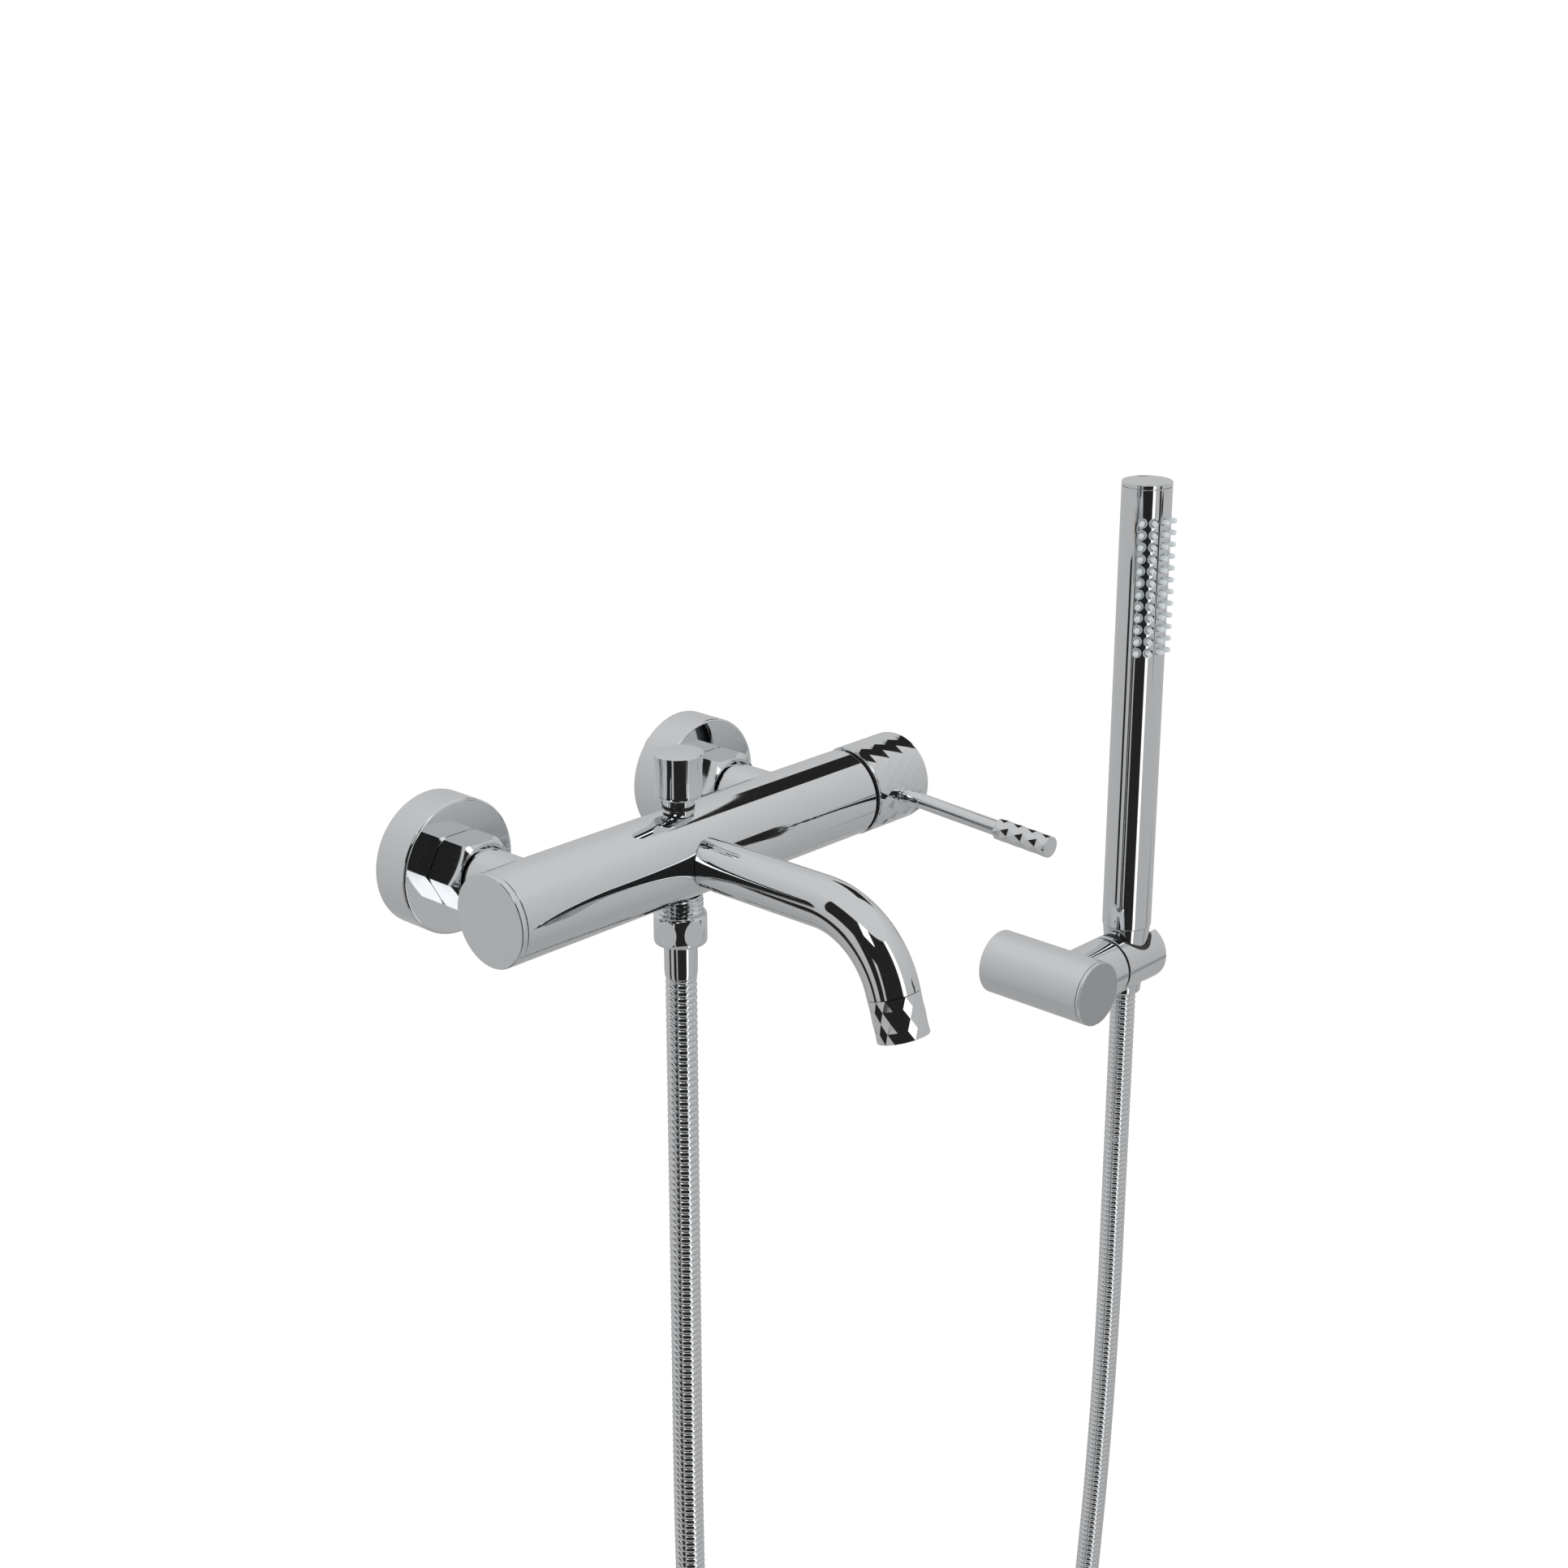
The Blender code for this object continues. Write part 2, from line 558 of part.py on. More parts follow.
def make_shower_outlet():
    at = body_axis
    outlet = rod("shower_outlet", outlet_radius, outlet_bottom, -body_radius / 2, at, Z, medium, "chrome")
    saddle = rod("outlet_saddle", body_radius + gap, -2 * outlet_radius, 2 * outlet_radius, at, X, fine,
                 "cutter")
    combine(outlet, "DIFFERENCE", [saddle])
    middle = outlet_bottom + 12
    combine(outlet, "UNION", [rod("nipple", nipple_radius, middle, nipple_top, at, Z, small, "cutter")])
    combine(outlet, "DIFFERENCE", [rod("outlet_way", 4.5, middle - 1, nipple_top + 1, at, Z, small, "cutter"),
                                   rod("valve_pocket", 7.5, outlet_bottom - 1, middle, at, Z, small,
                                       "cutter")])
    tube("check_valve", 7.2, 4.0, outlet_bottom + gap, middle - gap, at, Z, small, "white plastic")
    tube("hose_washer", outlet_radius - 0.8, 5.0, outlet_bottom - gap - 1.6, outlet_bottom - gap, at, Z,
         small, "rubber")

    flange = outlet_bottom - 2 * gap - 1.6
    neck = hose_nut_bottom - 0.5
    turned("hose_ferrule", [(4.0, flange), (outlet_radius - 0.8, flange), (outlet_radius - 0.8, flange - 1.2),
                            (6.2, flange - 1.2), (6.2, neck), (ferrule_radius, neck),
                            (ferrule_radius, ferrule_bottom),
                            (4.0, ferrule_bottom)], at, Z, small, "chrome")
    low, high, crown = hose_nut_bottom, hose_nut_top, hose_nut_radius
    outline = [(0, low), (crown - 2.4, low), (crown - 0.9, low + 1.1), (crown, low + 4), (crown, high - 4),
               (crown - 0.9, high - 1.1), (crown - 2.0, high), (0, high)]
    lip = flange - 1.2 - gap
    steps = [(outlet_radius + gap, lip, high + 1), (6.5, low - 1, lip + 0.1)]
    make_nut("hose_nut", hose_nut_flats, outline, steps, low, high, at, Z, X + Y)


def spout_path():
    """(Y, Z) points of the spout's centre line, and where and which way its last straight ends."""
    steps = 10
    path = [(-reach - body_radius / 2, 0), (-spout_straight, 0)]
    for i in range(1, steps + 1):
        angle = radians(spout_turn) * i / steps
        path.append((-spout_straight - spout_bend * sin(angle), -spout_bend * (1 - cos(angle))))
    way = Vector((0, -cos(radians(spout_turn)), -sin(radians(spout_turn))))
    end = Vector((0, *path[-1])) + way * spout_end_straight
    return path + [(end.y, end.z)], end, way


def make_spout():
    path, end, way = spout_path()
    spout = swept("spout", path, spout_radius, spout_bore, medium, "chrome")
    saddle = rod("spout_saddle", body_radius + gap, -2 * spout_radius, 2 * spout_radius, body_axis, X, fine,
                 "cutter")
    combine(spout, "DIFFERENCE", [saddle])
    outer = spout_bore + 0.7
    combine(spout, "UNION", [tube("spout_tail", outer, spout_bore - 1.5, -body_radius - 8, -body_radius + 8,
                                  body_axis, Y, medium, "cutter")])
    side = way.cross(X)
    tip = lantern("spout_tip", spout_radius, tip_sides, tip_bands, tip_band, gap, end, way, "chrome", None,
                  side)
    collar, pocket = 4.0, 2.5
    length = tip_bands * tip_band + gap
    combine(tip, "UNION", [rod("tip_collar", spout_bore - gap, -collar, 1, end, way, small, "cutter")])
    aerator_radius = spout_radius - 2.2
    seat = rod("aerator_pocket", aerator_radius + gap, pocket, length + 1, end, way, small, "cutter")
    combine(tip, "DIFFERENCE", [rod("tip_way", 6.2, -collar - 1, pocket + 1, end, way, small, "cutter"),
                                seat])
    tube("aerator_seal", aerator_radius, 6.4, pocket + gap, pocket + 1.7, end, way, small, "rubber")
    aerator = rod("aerator", aerator_radius, pocket + 2.0, length - 0.8, end, way, small, "white plastic")
    bm = bmesh.new()
    for out, turn in [(0, 0)] + [(5.0, pi * i / 3 + 0.2) for i in range(6)]:
        add_turned(bm, [(0, 0), (1.5, 0), (1.5, length + 1), (0, length + 1)],
                   Matrix.Translation((out * cos(turn), out * sin(turn), 0)), tiny)
    combine(aerator, "DIFFERENCE", [finish_mesh("aerator_holes", bm, end, way, None, None, "cutter")])


def cone_radius(z):
    """Radius of the conical nut at height z."""
    return cone_top + (z - seam_z) * (cone_top - cone_bottom) / cone_length


def make_holder(tilt_axis):
    post_x = handset_x - base_to_cradle
    post = Vector((post_x, 0, holder_z))
    arm = Vector((0, -holder_arm_reach, holder_z))
    cap_back = -post_length + 2.0
    base = rod("holder_post", post_radius, cap_back + gap, 0, post, Y, fine, "chrome")
    arm_end = post_x + arm_length
    pin_low, pin_high = arm_end - 13, arm_end + 4.1
    combine(base, "UNION", [rod("holder_arm", arm_radius, post_x + 3, arm_end, arm, X, medium, "cutter")])
    combine(base, "DIFFERENCE", [
        rod("grub_way", 2.3, -post_radius - 1, -post_bore + 1, post + Vector((0, -3, 0)), Z, tiny, "cutter",
            side=X + Y / 3),
        rod("post_way", post_bore, cap_back - 1, 1, post, Y, fine, "cutter"),
        rod("pin_way", 4.0 + gap, pin_low - gap, arm_end + 1, arm, X, small, "cutter")])
    face, plug = -post_length, post_bore - gap
    outline = [(0, face), (post_radius - 0.4, face), (post_radius, face + 0.4), (post_radius, cap_back),
               (plug, cap_back), (plug, cap_back + 5), (0, cap_back + 5)]
    cap = turned("holder_cap", outline, post, Y, fine, "chrome")
    combine(cap, "DIFFERENCE", [block("cap_notch", (2.6, 1.4, 1.6), post + Vector((0, face, -post_radius)),
                                      "cutter")])
    bracket = rod("holder_bracket", post_bore - gap, -5, 0, post, Y, medium, "steel")
    holes = [post + Vector((0, 0, height)) for height in (-bracket_hole_offset, bracket_hole_offset)]
    combine(bracket, "DIFFERENCE", [rod("bracket_hole", bracket_hole_radius, -6, 1, place, Y, tiny, "cutter")
                                    for place in holes])
    rod("holder_grub_screw", 2.0, -post_radius + 0.2, -post_bore, post + Vector((0, -3, 0)), Z, tiny, "steel")
    rod("cradle_pin", 4.0, pin_low, pin_high, arm, X, small, "steel")
    washer = arm_end + gap
    tube("friction_washer", arm_radius - 0.7, 4.0 + gap, washer, washer + 1.0, arm, X, medium,
         "black plastic")

    start = washer + 1.0 + gap
    centre = Vector((handset_x, -holder_arm_reach, 0))
    cradle = rod("cradle", cradle_radius, start, handset_x + cradle_far, arm, X, fine, "chrome", tilt_axis)
    low, high = holder_z - cradle_radius - 4, holder_z + cradle_radius + 4
    wall = liner_wall + gap
    socket = [(0, low), (cone_radius(low) + wall + gap, low), (cone_radius(high) + wall + gap, high),
              (0, high)]
    slot = block("cradle_gap", (40, cradle_slot, 3 * cradle_radius), centre + Vector((20, 0, holder_z)),
                 "cutter",
                 tilt_axis)
    pin_hole = rod("pin_hole", 4.0 + gap, start - 1, pin_high + gap, arm, X, small, "cutter", tilt_axis)
    combine(cradle, "DIFFERENCE", [turned("socket", socket, centre, Z, medium, "cutter", tilt_axis), slot,
                                   pin_hole])
    sleeve = [(cone_radius(low) + gap, low), (cone_radius(low) + wall, low), (cone_radius(high) + wall, high),
              (cone_radius(high) + gap, high)]
    liner = turned("cradle_liner", sleeve, centre, Z, medium, "black plastic", tilt_axis)
    combine(liner, "INTERSECT", [rod("liner_trim", cradle_radius - 0.2, handset_x - 30, handset_x + 30, arm,
                                     X, fine,
                                     "cutter", tilt_axis)])
    combine(liner, "DIFFERENCE", [slot])


def nozzle_places():
    """A frame for each nozzle, on the handset's axis, with local Z along the jet."""
    top = seam_z + handset_length - nozzle_first
    for row in range(nozzle_rows):
        for column in range(nozzle_columns):
            turn = radians(handset_turn - 90 + nozzle_angle * (column - (nozzle_columns - 1) / 2))
            jet = Vector((cos(turn), sin(turn), 0))
            yield Matrix.Translation((0, 0, top - row * nozzle_pitch)) @ turn_to(jet, Z)


def nozzle_bodies(name, outline, centre, kind, parent):
    bm = bmesh.new()
    for place in nozzle_places():
        add_turned(bm, outline, place, 5)
    return finish_mesh(name, bm, centre, Z, X, parent, kind)


def make_handset(swivel_axis, lift_axis):
    centre = Vector((handset_x, -holder_arm_reach, 0))
    top = seam_z + handset_length
    lid = 2.1
    body = tube("handset_tube", handset_radius, handset_bore, seam_z + gap, top - lid - gap, centre, Z, fine,
                "chrome",
                swivel_axis)
    holes = nozzle_bodies("nozzle_holes", [(0, handset_bore - 2), (nozzle_hole, handset_bore - 2),
                                           (nozzle_hole, handset_radius + 2), (0, handset_radius + 2)],
                          centre, "cutter", swivel_axis)
    combine(body, "DIFFERENCE", [holes])
    turned("handset_lid", [(0, top - 8), (handset_bore - gap, top - 8), (handset_bore - gap, top - lid),
                           (handset_radius, top - lid), (handset_radius, top - 0.3),
                           (handset_radius - 0.3, top),
                           (handset_radius - 1.2, top), (0, top - 1.0)], centre, Z, fine, "chrome",
                           swivel_axis)

    # rubber mat behind the nozzles: a strip of a tube, open at the back
    outer, inner = handset_bore - gap, handset_bore - 1.7
    high = top - nozzle_first + 4
    low = high - 8 - nozzle_pitch * (nozzle_rows - 1)
    half = nozzle_angle * nozzle_columns / 2 - 3
    turns = [radians(handset_turn - 90 + half * (2 * i / 12 - 1)) for i in range(13)]
    edge = [(outer * cos(t), outer * sin(t)) for t in turns]
    edge += [(inner * cos(t), inner * sin(t)) for t in reversed(turns)]
    bm = bmesh.new()
    strip = bm.faces.new([bm.verts.new((x, y, low)) for x, y in edge])
    raised = bmesh.ops.extrude_face_region(bm, geom=[strip], use_keep_orig=True)["geom"]
    top_corners = [item for item in raised if isinstance(item, bmesh.types.BMVert)]
    bmesh.ops.translate(bm, vec=(0, 0, high - low), verts=top_corners)
    mat = finish_mesh("nozzle_strip", bm, centre, Z, X, swivel_axis, "silicone")
    jet = [(0, inner + 0.5), (nozzle_radius, inner + 0.5), (nozzle_radius - 0.5, nozzle_tip), (0, nozzle_tip)]
    combine(mat, "UNION", [nozzle_bodies("jets", jet, centre, "cutter", swivel_axis)])

    low = seam_z - cone_length
    turned("cone_nut", [(5, low), (cone_bottom, low), (cone_top, seam_z), (handset_bore - gap, seam_z),
                        (handset_bore - gap, seam_z + 9), (5, seam_z + 9)], centre, Z, medium, "chrome",
                        lift_axis)
    tail_top = low - gap
    tail = [centre + Vector((0, 0, tail_top - tail_length * i / 3)) for i in range(4)]
    wire("hose_tail", tail, hose_radius, 3, "chrome", lift_axis)


def smooth_line(knots, spacing):
    """Points a spacing apart on a smooth curve through knots."""
    knots = [Vector(knot) for knot in knots]
    knots = [2 * knots[0] - knots[1]] + knots + [2 * knots[-1] - knots[-2]]
    line, steps = [], 40
    for before, start, end, after in zip(knots, knots[1:], knots[2:], knots[3:]):
        span = (end - start).length
        lead = ((start - before) / (start - before).length + (end - start) / span) * span / 2
        trail = ((end - start) / span + (after - end) / (after - end).length) * span / 2
        for i in range(steps):
            t = i / steps
            line.append(start * (2 * t ** 3 - 3 * t ** 2 + 1) + lead * (t ** 3 - 2 * t ** 2 + t)
                        + end * (3 * t ** 2 - 2 * t ** 3) + trail * (t ** 3 - t ** 2))
    line.append(knots[-2])
    travelled = [0.0]
    for a, b in zip(line, line[1:]):
        travelled.append(travelled[-1] + (b - a).length)
    count = round(travelled[-1] / spacing)
    points, at = [], 0
    for i in range(count + 1):
        goal = travelled[-1] * i / count
        while at < len(line) - 2 and travelled[at + 1] < goal:
            at += 1
        share = (goal - travelled[at]) / (travelled[at + 1] - travelled[at])
        points.append(line[at].lerp(line[at + 1], share))
    return points, travelled[-1]


def make_hose():
    route = [(0, ferrule_bottom - gap)] + hose_route + [(1, seam_z - cone_length - tail_length - 2 * gap)]
    knots = [(handset_x * share, -reach + (reach - holder_arm_reach) * share, z) for share, z in route]
    points, length = smooth_line(knots, 5 * hose_radius)
    wire("hose_run", points, hose_radius, 3, "chrome")
    print("hose run", round(length, 1), "mm")


def main():
    clear_scene()
    pivot = across_body(pivot_x)
    turn_axis = empty("lever_turn_axis", pivot, lever_droop)
    disc_axis = empty("disc_axis", pivot, lever_droop)
    lift_axis = empty("lever_lift_axis", pivot, lever_droop)
    pull_axis = empty("diverter_axis", body_axis)
    tilt_axis = empty("cradle_axis", (handset_x, -holder_arm_reach, holder_z))
    cone_axis = empty("cone_axis", (handset_x, -holder_arm_reach, seam_z))
    swivel_axis = empty("handset_axis", (handset_x, -holder_arm_reach, seam_z))
    make_body()
    make_inlets()
    make_cartridge(turn_axis, disc_axis)
    make_handle(lift_axis)
    make_diverter(pull_axis)
    make_shower_outlet()
    make_spout()
    make_holder(tilt_axis)
    make_handset(swivel_axis, cone_axis)
    make_hose()


main()
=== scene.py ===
# Wall mounted bath faucet: single lever mixer with a curved spout and a pull-up diverter,
# and a stick hand shower on a metal hose, in a tilting wall holder.
# Sizes are millimetres. The wall is the plane Y = 0, the room is on its -Y side, +Z is up.

from math import atan2, cos, hypot, pi, radians, sin, sqrt, tan

import bpy
from mathutils import Matrix, Vector


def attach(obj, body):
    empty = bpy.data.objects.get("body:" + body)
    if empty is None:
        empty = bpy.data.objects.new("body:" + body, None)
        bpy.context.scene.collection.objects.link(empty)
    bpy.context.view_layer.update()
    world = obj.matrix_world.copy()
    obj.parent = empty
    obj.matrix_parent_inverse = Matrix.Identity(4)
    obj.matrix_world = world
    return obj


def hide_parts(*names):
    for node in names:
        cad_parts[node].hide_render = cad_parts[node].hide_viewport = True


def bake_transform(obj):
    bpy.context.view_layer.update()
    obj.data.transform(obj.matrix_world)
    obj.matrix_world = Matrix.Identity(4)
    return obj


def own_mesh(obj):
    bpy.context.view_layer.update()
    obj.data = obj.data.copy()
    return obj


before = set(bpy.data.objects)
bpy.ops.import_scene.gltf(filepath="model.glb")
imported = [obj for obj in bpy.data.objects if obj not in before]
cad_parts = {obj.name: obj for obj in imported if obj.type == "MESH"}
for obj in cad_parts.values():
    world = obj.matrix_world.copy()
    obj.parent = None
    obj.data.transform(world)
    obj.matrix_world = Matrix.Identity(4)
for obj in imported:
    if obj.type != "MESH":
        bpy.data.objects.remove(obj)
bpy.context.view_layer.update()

mm = 0.001
right, inward, up = Vector((1, 0, 0)), Vector((0, 1, 0)), Vector((0, 0, 1))


# camera, then the hose's route, since everything else is judged against them
cameraSettings = {
    "place": (-0.719167, -0.802984, 0.385815),
    "lookAt": (0.08203, -0.06, 0.00678),
    "lens": 58.54,
}
lensData = bpy.data.cameras.new("productCamera")
lensData.lens, lensData.sensor_width = cameraSettings["lens"], 36
lensData.clip_start, lensData.clip_end = 0.01, 400
camera = bpy.data.objects.new("productCamera", lensData)
bpy.context.scene.collection.objects.link(camera)
camera.location = cameraSettings["place"]
lookWay = Vector(cameraSettings["lookAt"]) - camera.location
camera.rotation_euler = lookWay.to_track_quat("-Z", "Y").to_euler()
bpy.context.scene.camera = camera

hose = {
    "diameter": 14.0,
    "ribPitch": 3.1,
    "grooveDepth": 1.0,
    "sides": 24,
    "mixerEnd": (0, -75, -56.9),
    "holderEnd": (375, -48.3, -282.6),
    "tailTop": -192.3,
    "tailBottom": -282.3,
    # share of the way across, and height, of the loop between the ends
    "loop": [(0, -95), (0, -160), (0, -240), (0, -330), (0.005, -424), (0.013, -510), (0.035, -588),
             (0.08, -659),
             (0.165, -719), (0.30, -762), (0.467, -778), (0.64, -770), (0.792, -737), (0.896, -684),
             (0.955, -614),
             (0.981, -537), (0.995, -458), (1, -390), (1, -330)],
}


def smoothRoute(knots):
    knots = [Vector(knot) for knot in knots]
    knots = [2 * knots[0] - knots[1]] + knots + [2 * knots[-1] - knots[-2]]
    line, steps = [], 40
    for before, start, end, after in zip(knots, knots[1:], knots[2:], knots[3:]):
        span = (end - start).length
        lead = ((start - before) / (start - before).length + (end - start) / span) * span / 2
        trail = ((end - start) / span + (after - end) / (after - end).length) * span / 2
        for i in range(steps):
            t = i / steps
            line.append(start * (2 * t ** 3 - 3 * t ** 2 + 1) + lead * (t ** 3 - 2 * t ** 2 + t)
                        + end * (3 * t ** 2 - 2 * t ** 3) + trail * (t ** 3 - t ** 2))
    return line + [knots[-2]]


def hoseLine():
    first, last = Vector(hose["mixerEnd"]), Vector(hose["holderEnd"])
    middle = [(first.x + (last.x - first.x) * share, first.y + (last.y - first.y) * share, height)
              for share, height in hose["loop"]]
    return smoothRoute([first, *middle, last])


# finishes
def linearColour(hexColour):
    # sRGB hex to the linear values that the shader wants
    parts = [int(hexColour[i:i + 2], 16) / 255 for i in (1, 3, 5)]
    return [c / 12.92 if c < 0.04045 else ((c + 0.055) / 1.055) ** 2.4 for c in parts] + [1]


def addNode(tree, kind, settings=None, links=None):
    node = tree.nodes.new(kind)
    for key, value in (settings or {}).items():
        if key in node.inputs:
            node.inputs[key].default_value = value
        else:
            setattr(node, key, value)
    for socket, source in (links or {}).items():
        tree.links.new(source, node.inputs[socket])
    return node


def newFinish(name, colour, metallic, roughness, **extra):
    finish = bpy.data.materials.new(name)
    finish.use_nodes = True
    tree = finish.node_tree
    shader = tree.nodes["Principled BSDF"]
    shader.inputs["Base Color"].default_value = linearColour(colour)
    shader.inputs["Metallic"].default_value = metallic
    shader.inputs["Roughness"].default_value = roughness
    for key, value in extra.items():
        shader.inputs[key].default_value = value
    return finish, tree, shader


def objectPlace(tree, scale=1.0):
    # millimetres of the piece times scale
    where = addNode(tree, "ShaderNodeTexCoord")
    return addNode(tree, "ShaderNodeVectorMath", {"operation": "SCALE", "Scale": 1000 * scale},
                   {"Vector": where.outputs["Object"]}).outputs["Vector"]


def spread(tree, source, low, high, fromLow=0.0, fromHigh=1.0):
    return addNode(tree, "ShaderNodeMapRange", {"From Min": fromLow, "From Max": fromHigh, "To Min": low,
                                                "To Max": high},
                   {"Value": source}).outputs["Result"]


def chromePlate():
    # bright nickel-chrome plating on polished brass: a cool mirror, with faint wipe marks in the gloss
    finish, tree, shader = newFinish("chromePlate", "#E3E5E7", 1.0, 0.04)
    where = objectPlace(tree)
    wipes = addNode(tree, "ShaderNodeTexNoise", {"Scale": 0.045, "Detail": 3.0, "Roughness": 0.6},
                    {"Vector": where})
    tree.links.new(spread(tree, wipes.outputs["Fac"], 0.025, 0.07, 0.35, 0.7), shader.inputs["Roughness"])
    buffing = addNode(tree, "ShaderNodeTexNoise", {"Scale": 0.6, "Detail": 2.0}, {"Vector": where})
    relief = addNode(tree, "ShaderNodeBump", {"Strength": 0.02, "Distance": 0.00002},
                     {"Height": buffing.outputs["Fac"]})
    tree.links.new(relief.outputs["Normal"], shader.inputs["Normal"])
    return finish


def turnedBrass():
    # machined CW617 brass: warm, with the rings that the lathe tool leaves, 0.4 mm apart
    finish, tree, shader = newFinish("turnedBrass", "#C9A45C", 1.0, 0.3)
    where = objectPlace(tree)
    tarnish = addNode(tree, "ShaderNodeTexNoise", {"Scale": 0.12, "Detail": 4.0}, {"Vector": where})
    blend = addNode(tree, "ShaderNodeMix", {"data_type": "RGBA"}, {"Factor": tarnish.outputs["Fac"]})
    blend.inputs[6].default_value, blend.inputs[7].default_value = linearColour("#B98F4A"), linearColour("#D8B66C")
    tree.links.new(blend.outputs[2], shader.inputs["Base Color"])
    rings = addNode(tree, "ShaderNodeTexWave", {"bands_direction": "Y", "Scale": 0.4, "Distortion": 0.3},
                    {"Vector": where})
    relief = addNode(tree, "ShaderNodeBump", {"Strength": 0.15, "Distance": 0.00005},
                     {"Height": rings.outputs["Fac"]})
    tree.links.new(relief.outputs["Normal"], shader.inputs["Normal"])
    return finish


def stainlessSteel():
    # A2 stainless screws and pins: grey, satin, with a fine grain
    finish, tree, shader = newFinish("stainlessSteel", "#B7B8B9", 1.0, 0.28)
    where = objectPlace(tree)
    grain = addNode(tree, "ShaderNodeTexNoise", {"Scale": 1.5, "Detail": 3.0}, {"Vector": where})
    tree.links.new(spread(tree, grain.outputs["Fac"], 0.22, 0.38), shader.inputs["Roughness"])
    relief = addNode(tree, "ShaderNodeBump", {"Strength": 0.1, "Distance": 0.00004},
                     {"Height": grain.outputs["Fac"]})
    tree.links.new(relief.outputs["Normal"], shader.inputs["Normal"])
    return finish


def mouldedPlastic(name, colour, other, roughness):
    # injection moulded: even colour with a soft spark-eroded texture of about 0.3 mm
    finish, tree, shader = newFinish(name, colour, 0.0, roughness, IOR=1.5)
    where = objectPlace(tree)
    cloud = addNode(tree, "ShaderNodeTexNoise", {"Scale": 0.2, "Detail": 2.0}, {"Vector": where})
    blend = addNode(tree, "ShaderNodeMix", {"data_type": "RGBA"}, {"Factor": cloud.outputs["Fac"]})
    blend.inputs[6].default_value, blend.inputs[7].default_value = linearColour(colour), linearColour(other)
    tree.links.new(blend.outputs[2], shader.inputs["Base Color"])
    sparks = addNode(tree, "ShaderNodeTexNoise", {"Scale": 3.0, "Detail": 3.0}, {"Vector": where})
    relief = addNode(tree, "ShaderNodeBump", {"Strength": 0.25, "Distance": 0.00008},
                     {"Height": sparks.outputs["Fac"]})
    tree.links.new(relief.outputs["Normal"], shader.inputs["Normal"])
    return finish


def nitrileRubber():
    # black NBR seals: dull, slightly dusty
    finish, tree, shader = newFinish("nitrileRubber", "#1B1B1C", 0.0, 0.65, IOR=1.52)
    where = objectPlace(tree)
    bloom = addNode(tree, "ShaderNodeTexNoise", {"Scale": 0.5, "Detail": 4.0}, {"Vector": where})
    tree.links.new(spread(tree, bloom.outputs["Fac"], 0.55, 0.8), shader.inputs["Roughness"])
    return finish


def aluminaCeramic():
    # lapped alumina: warm white, hard and very smooth
    finish, tree, shader = newFinish("aluminaCeramic", "#EFEAE0", 0.0, 0.12, IOR=1.77)
    where = objectPlace(tree)
    speck = addNode(tree, "ShaderNodeTexNoise", {"Scale": 2.0, "Detail": 4.0}, {"Vector": where})
    tree.links.new(spread(tree, speck.outputs["Fac"], 0.08, 0.18), shader.inputs["Roughness"])
    return finish


def nozzleSilicone():
    # translucent grey LSR: light goes a little way in, and the skin is softly satin
    finish, tree, shader = newFinish("nozzleSilicone", "#C3C9CC", 0.0, 0.42, IOR=1.41)
    shader.inputs["Subsurface Weight"].default_value = 0.25
    shader.inputs["Subsurface Radius"].default_value = (0.001, 0.001, 0.0012)
    where = objectPlace(tree)
    skin = addNode(tree, "ShaderNodeTexNoise", {"Scale": 1.2, "Detail": 3.0}, {"Vector": where})
    blend = addNode(tree, "ShaderNodeMix", {"data_type": "RGBA"}, {"Factor": skin.outputs["Fac"]})
    blend.inputs[6].default_value, blend.inputs[7].default_value = linearColour("#B9C0C4"), linearColour("#CDD2D4")
    tree.links.new(blend.outputs[2], shader.inputs["Base Color"])
    return finish


chrome = chromePlate()
brass = turnedBrass()
steel = stainlessSteel()
blackAcetal = mouldedPlastic("blackAcetal", "#17181A", "#202124", 0.4)
whiteAcetal = mouldedPlastic("whiteAcetal", "#E6E4DC", "#DCD9CF", 0.42)
rubber = nitrileRubber()
ceramic = aluminaCeramic()
silicone = nozzleSilicone()
print("finishes ready")


# shells: lists of points, faces and the normal at each face corner, so that polished curves mirror cleanly
def turnTo(along, side=None):
    # rotation that takes local Z to along, and local X as near as it can to side
    along = along.normalized()
    side = side or (up if abs(along.z) < 0.9 else right)
    third = along.cross(side).normalized()
    return Matrix((third.cross(along), third, along)).transposed()


def roundCorners(corners, steps=4, closed=True):
    # a corner is (radius, height), with a fillet's radius or "soft" after it. Gives places with their two normals
    if closed and sum(a[0] * b[1] - b[0] * a[1] for a, b in zip(corners, corners[1:] + corners[:1])) < 0:
        corners = corners[::-1]
    outline, count = [], len(corners)
    for index, corner in enumerate(corners):
        here = Vector(corner[:2])
        before, after = Vector(corners[index - 1][:2]), Vector(corners[(index + 1) % count][:2])
        if not closed and index == 0:
            before = 2 * here - after
        if not closed and index == count - 1:
            after = 2 * here - before
        into, out = (here - before).normalized(), (after - here).normalized()
        intoNormal, outNormal = Vector((into.y, -into.x)), Vector((out.y, -out.x))
        fillet = corner[2] if len(corner) > 2 else 0
        if fillet == "soft":
            both = (intoNormal + outNormal).normalized()
            outline.append((here, both, both))
        elif fillet:
            turn = atan2(into.x * out.y - into.y * out.x, into.dot(out))
            bulge = 1 if turn > 0 else -1
            start = here - into * fillet * tan(abs(turn) / 2)
            centre = start - intoNormal * fillet * bulge
            for i in range(steps + 1):
                a = turn * i / steps
                normal = Vector((intoNormal.x * cos(a) - intoNormal.y * sin(a),
                                 intoNormal.x * sin(a) + intoNormal.y * cos(a)))
                outline.append((centre + normal * fillet * bulge, normal, normal))
        else:
            outline.append((here, intoNormal, outNormal))
    return outline


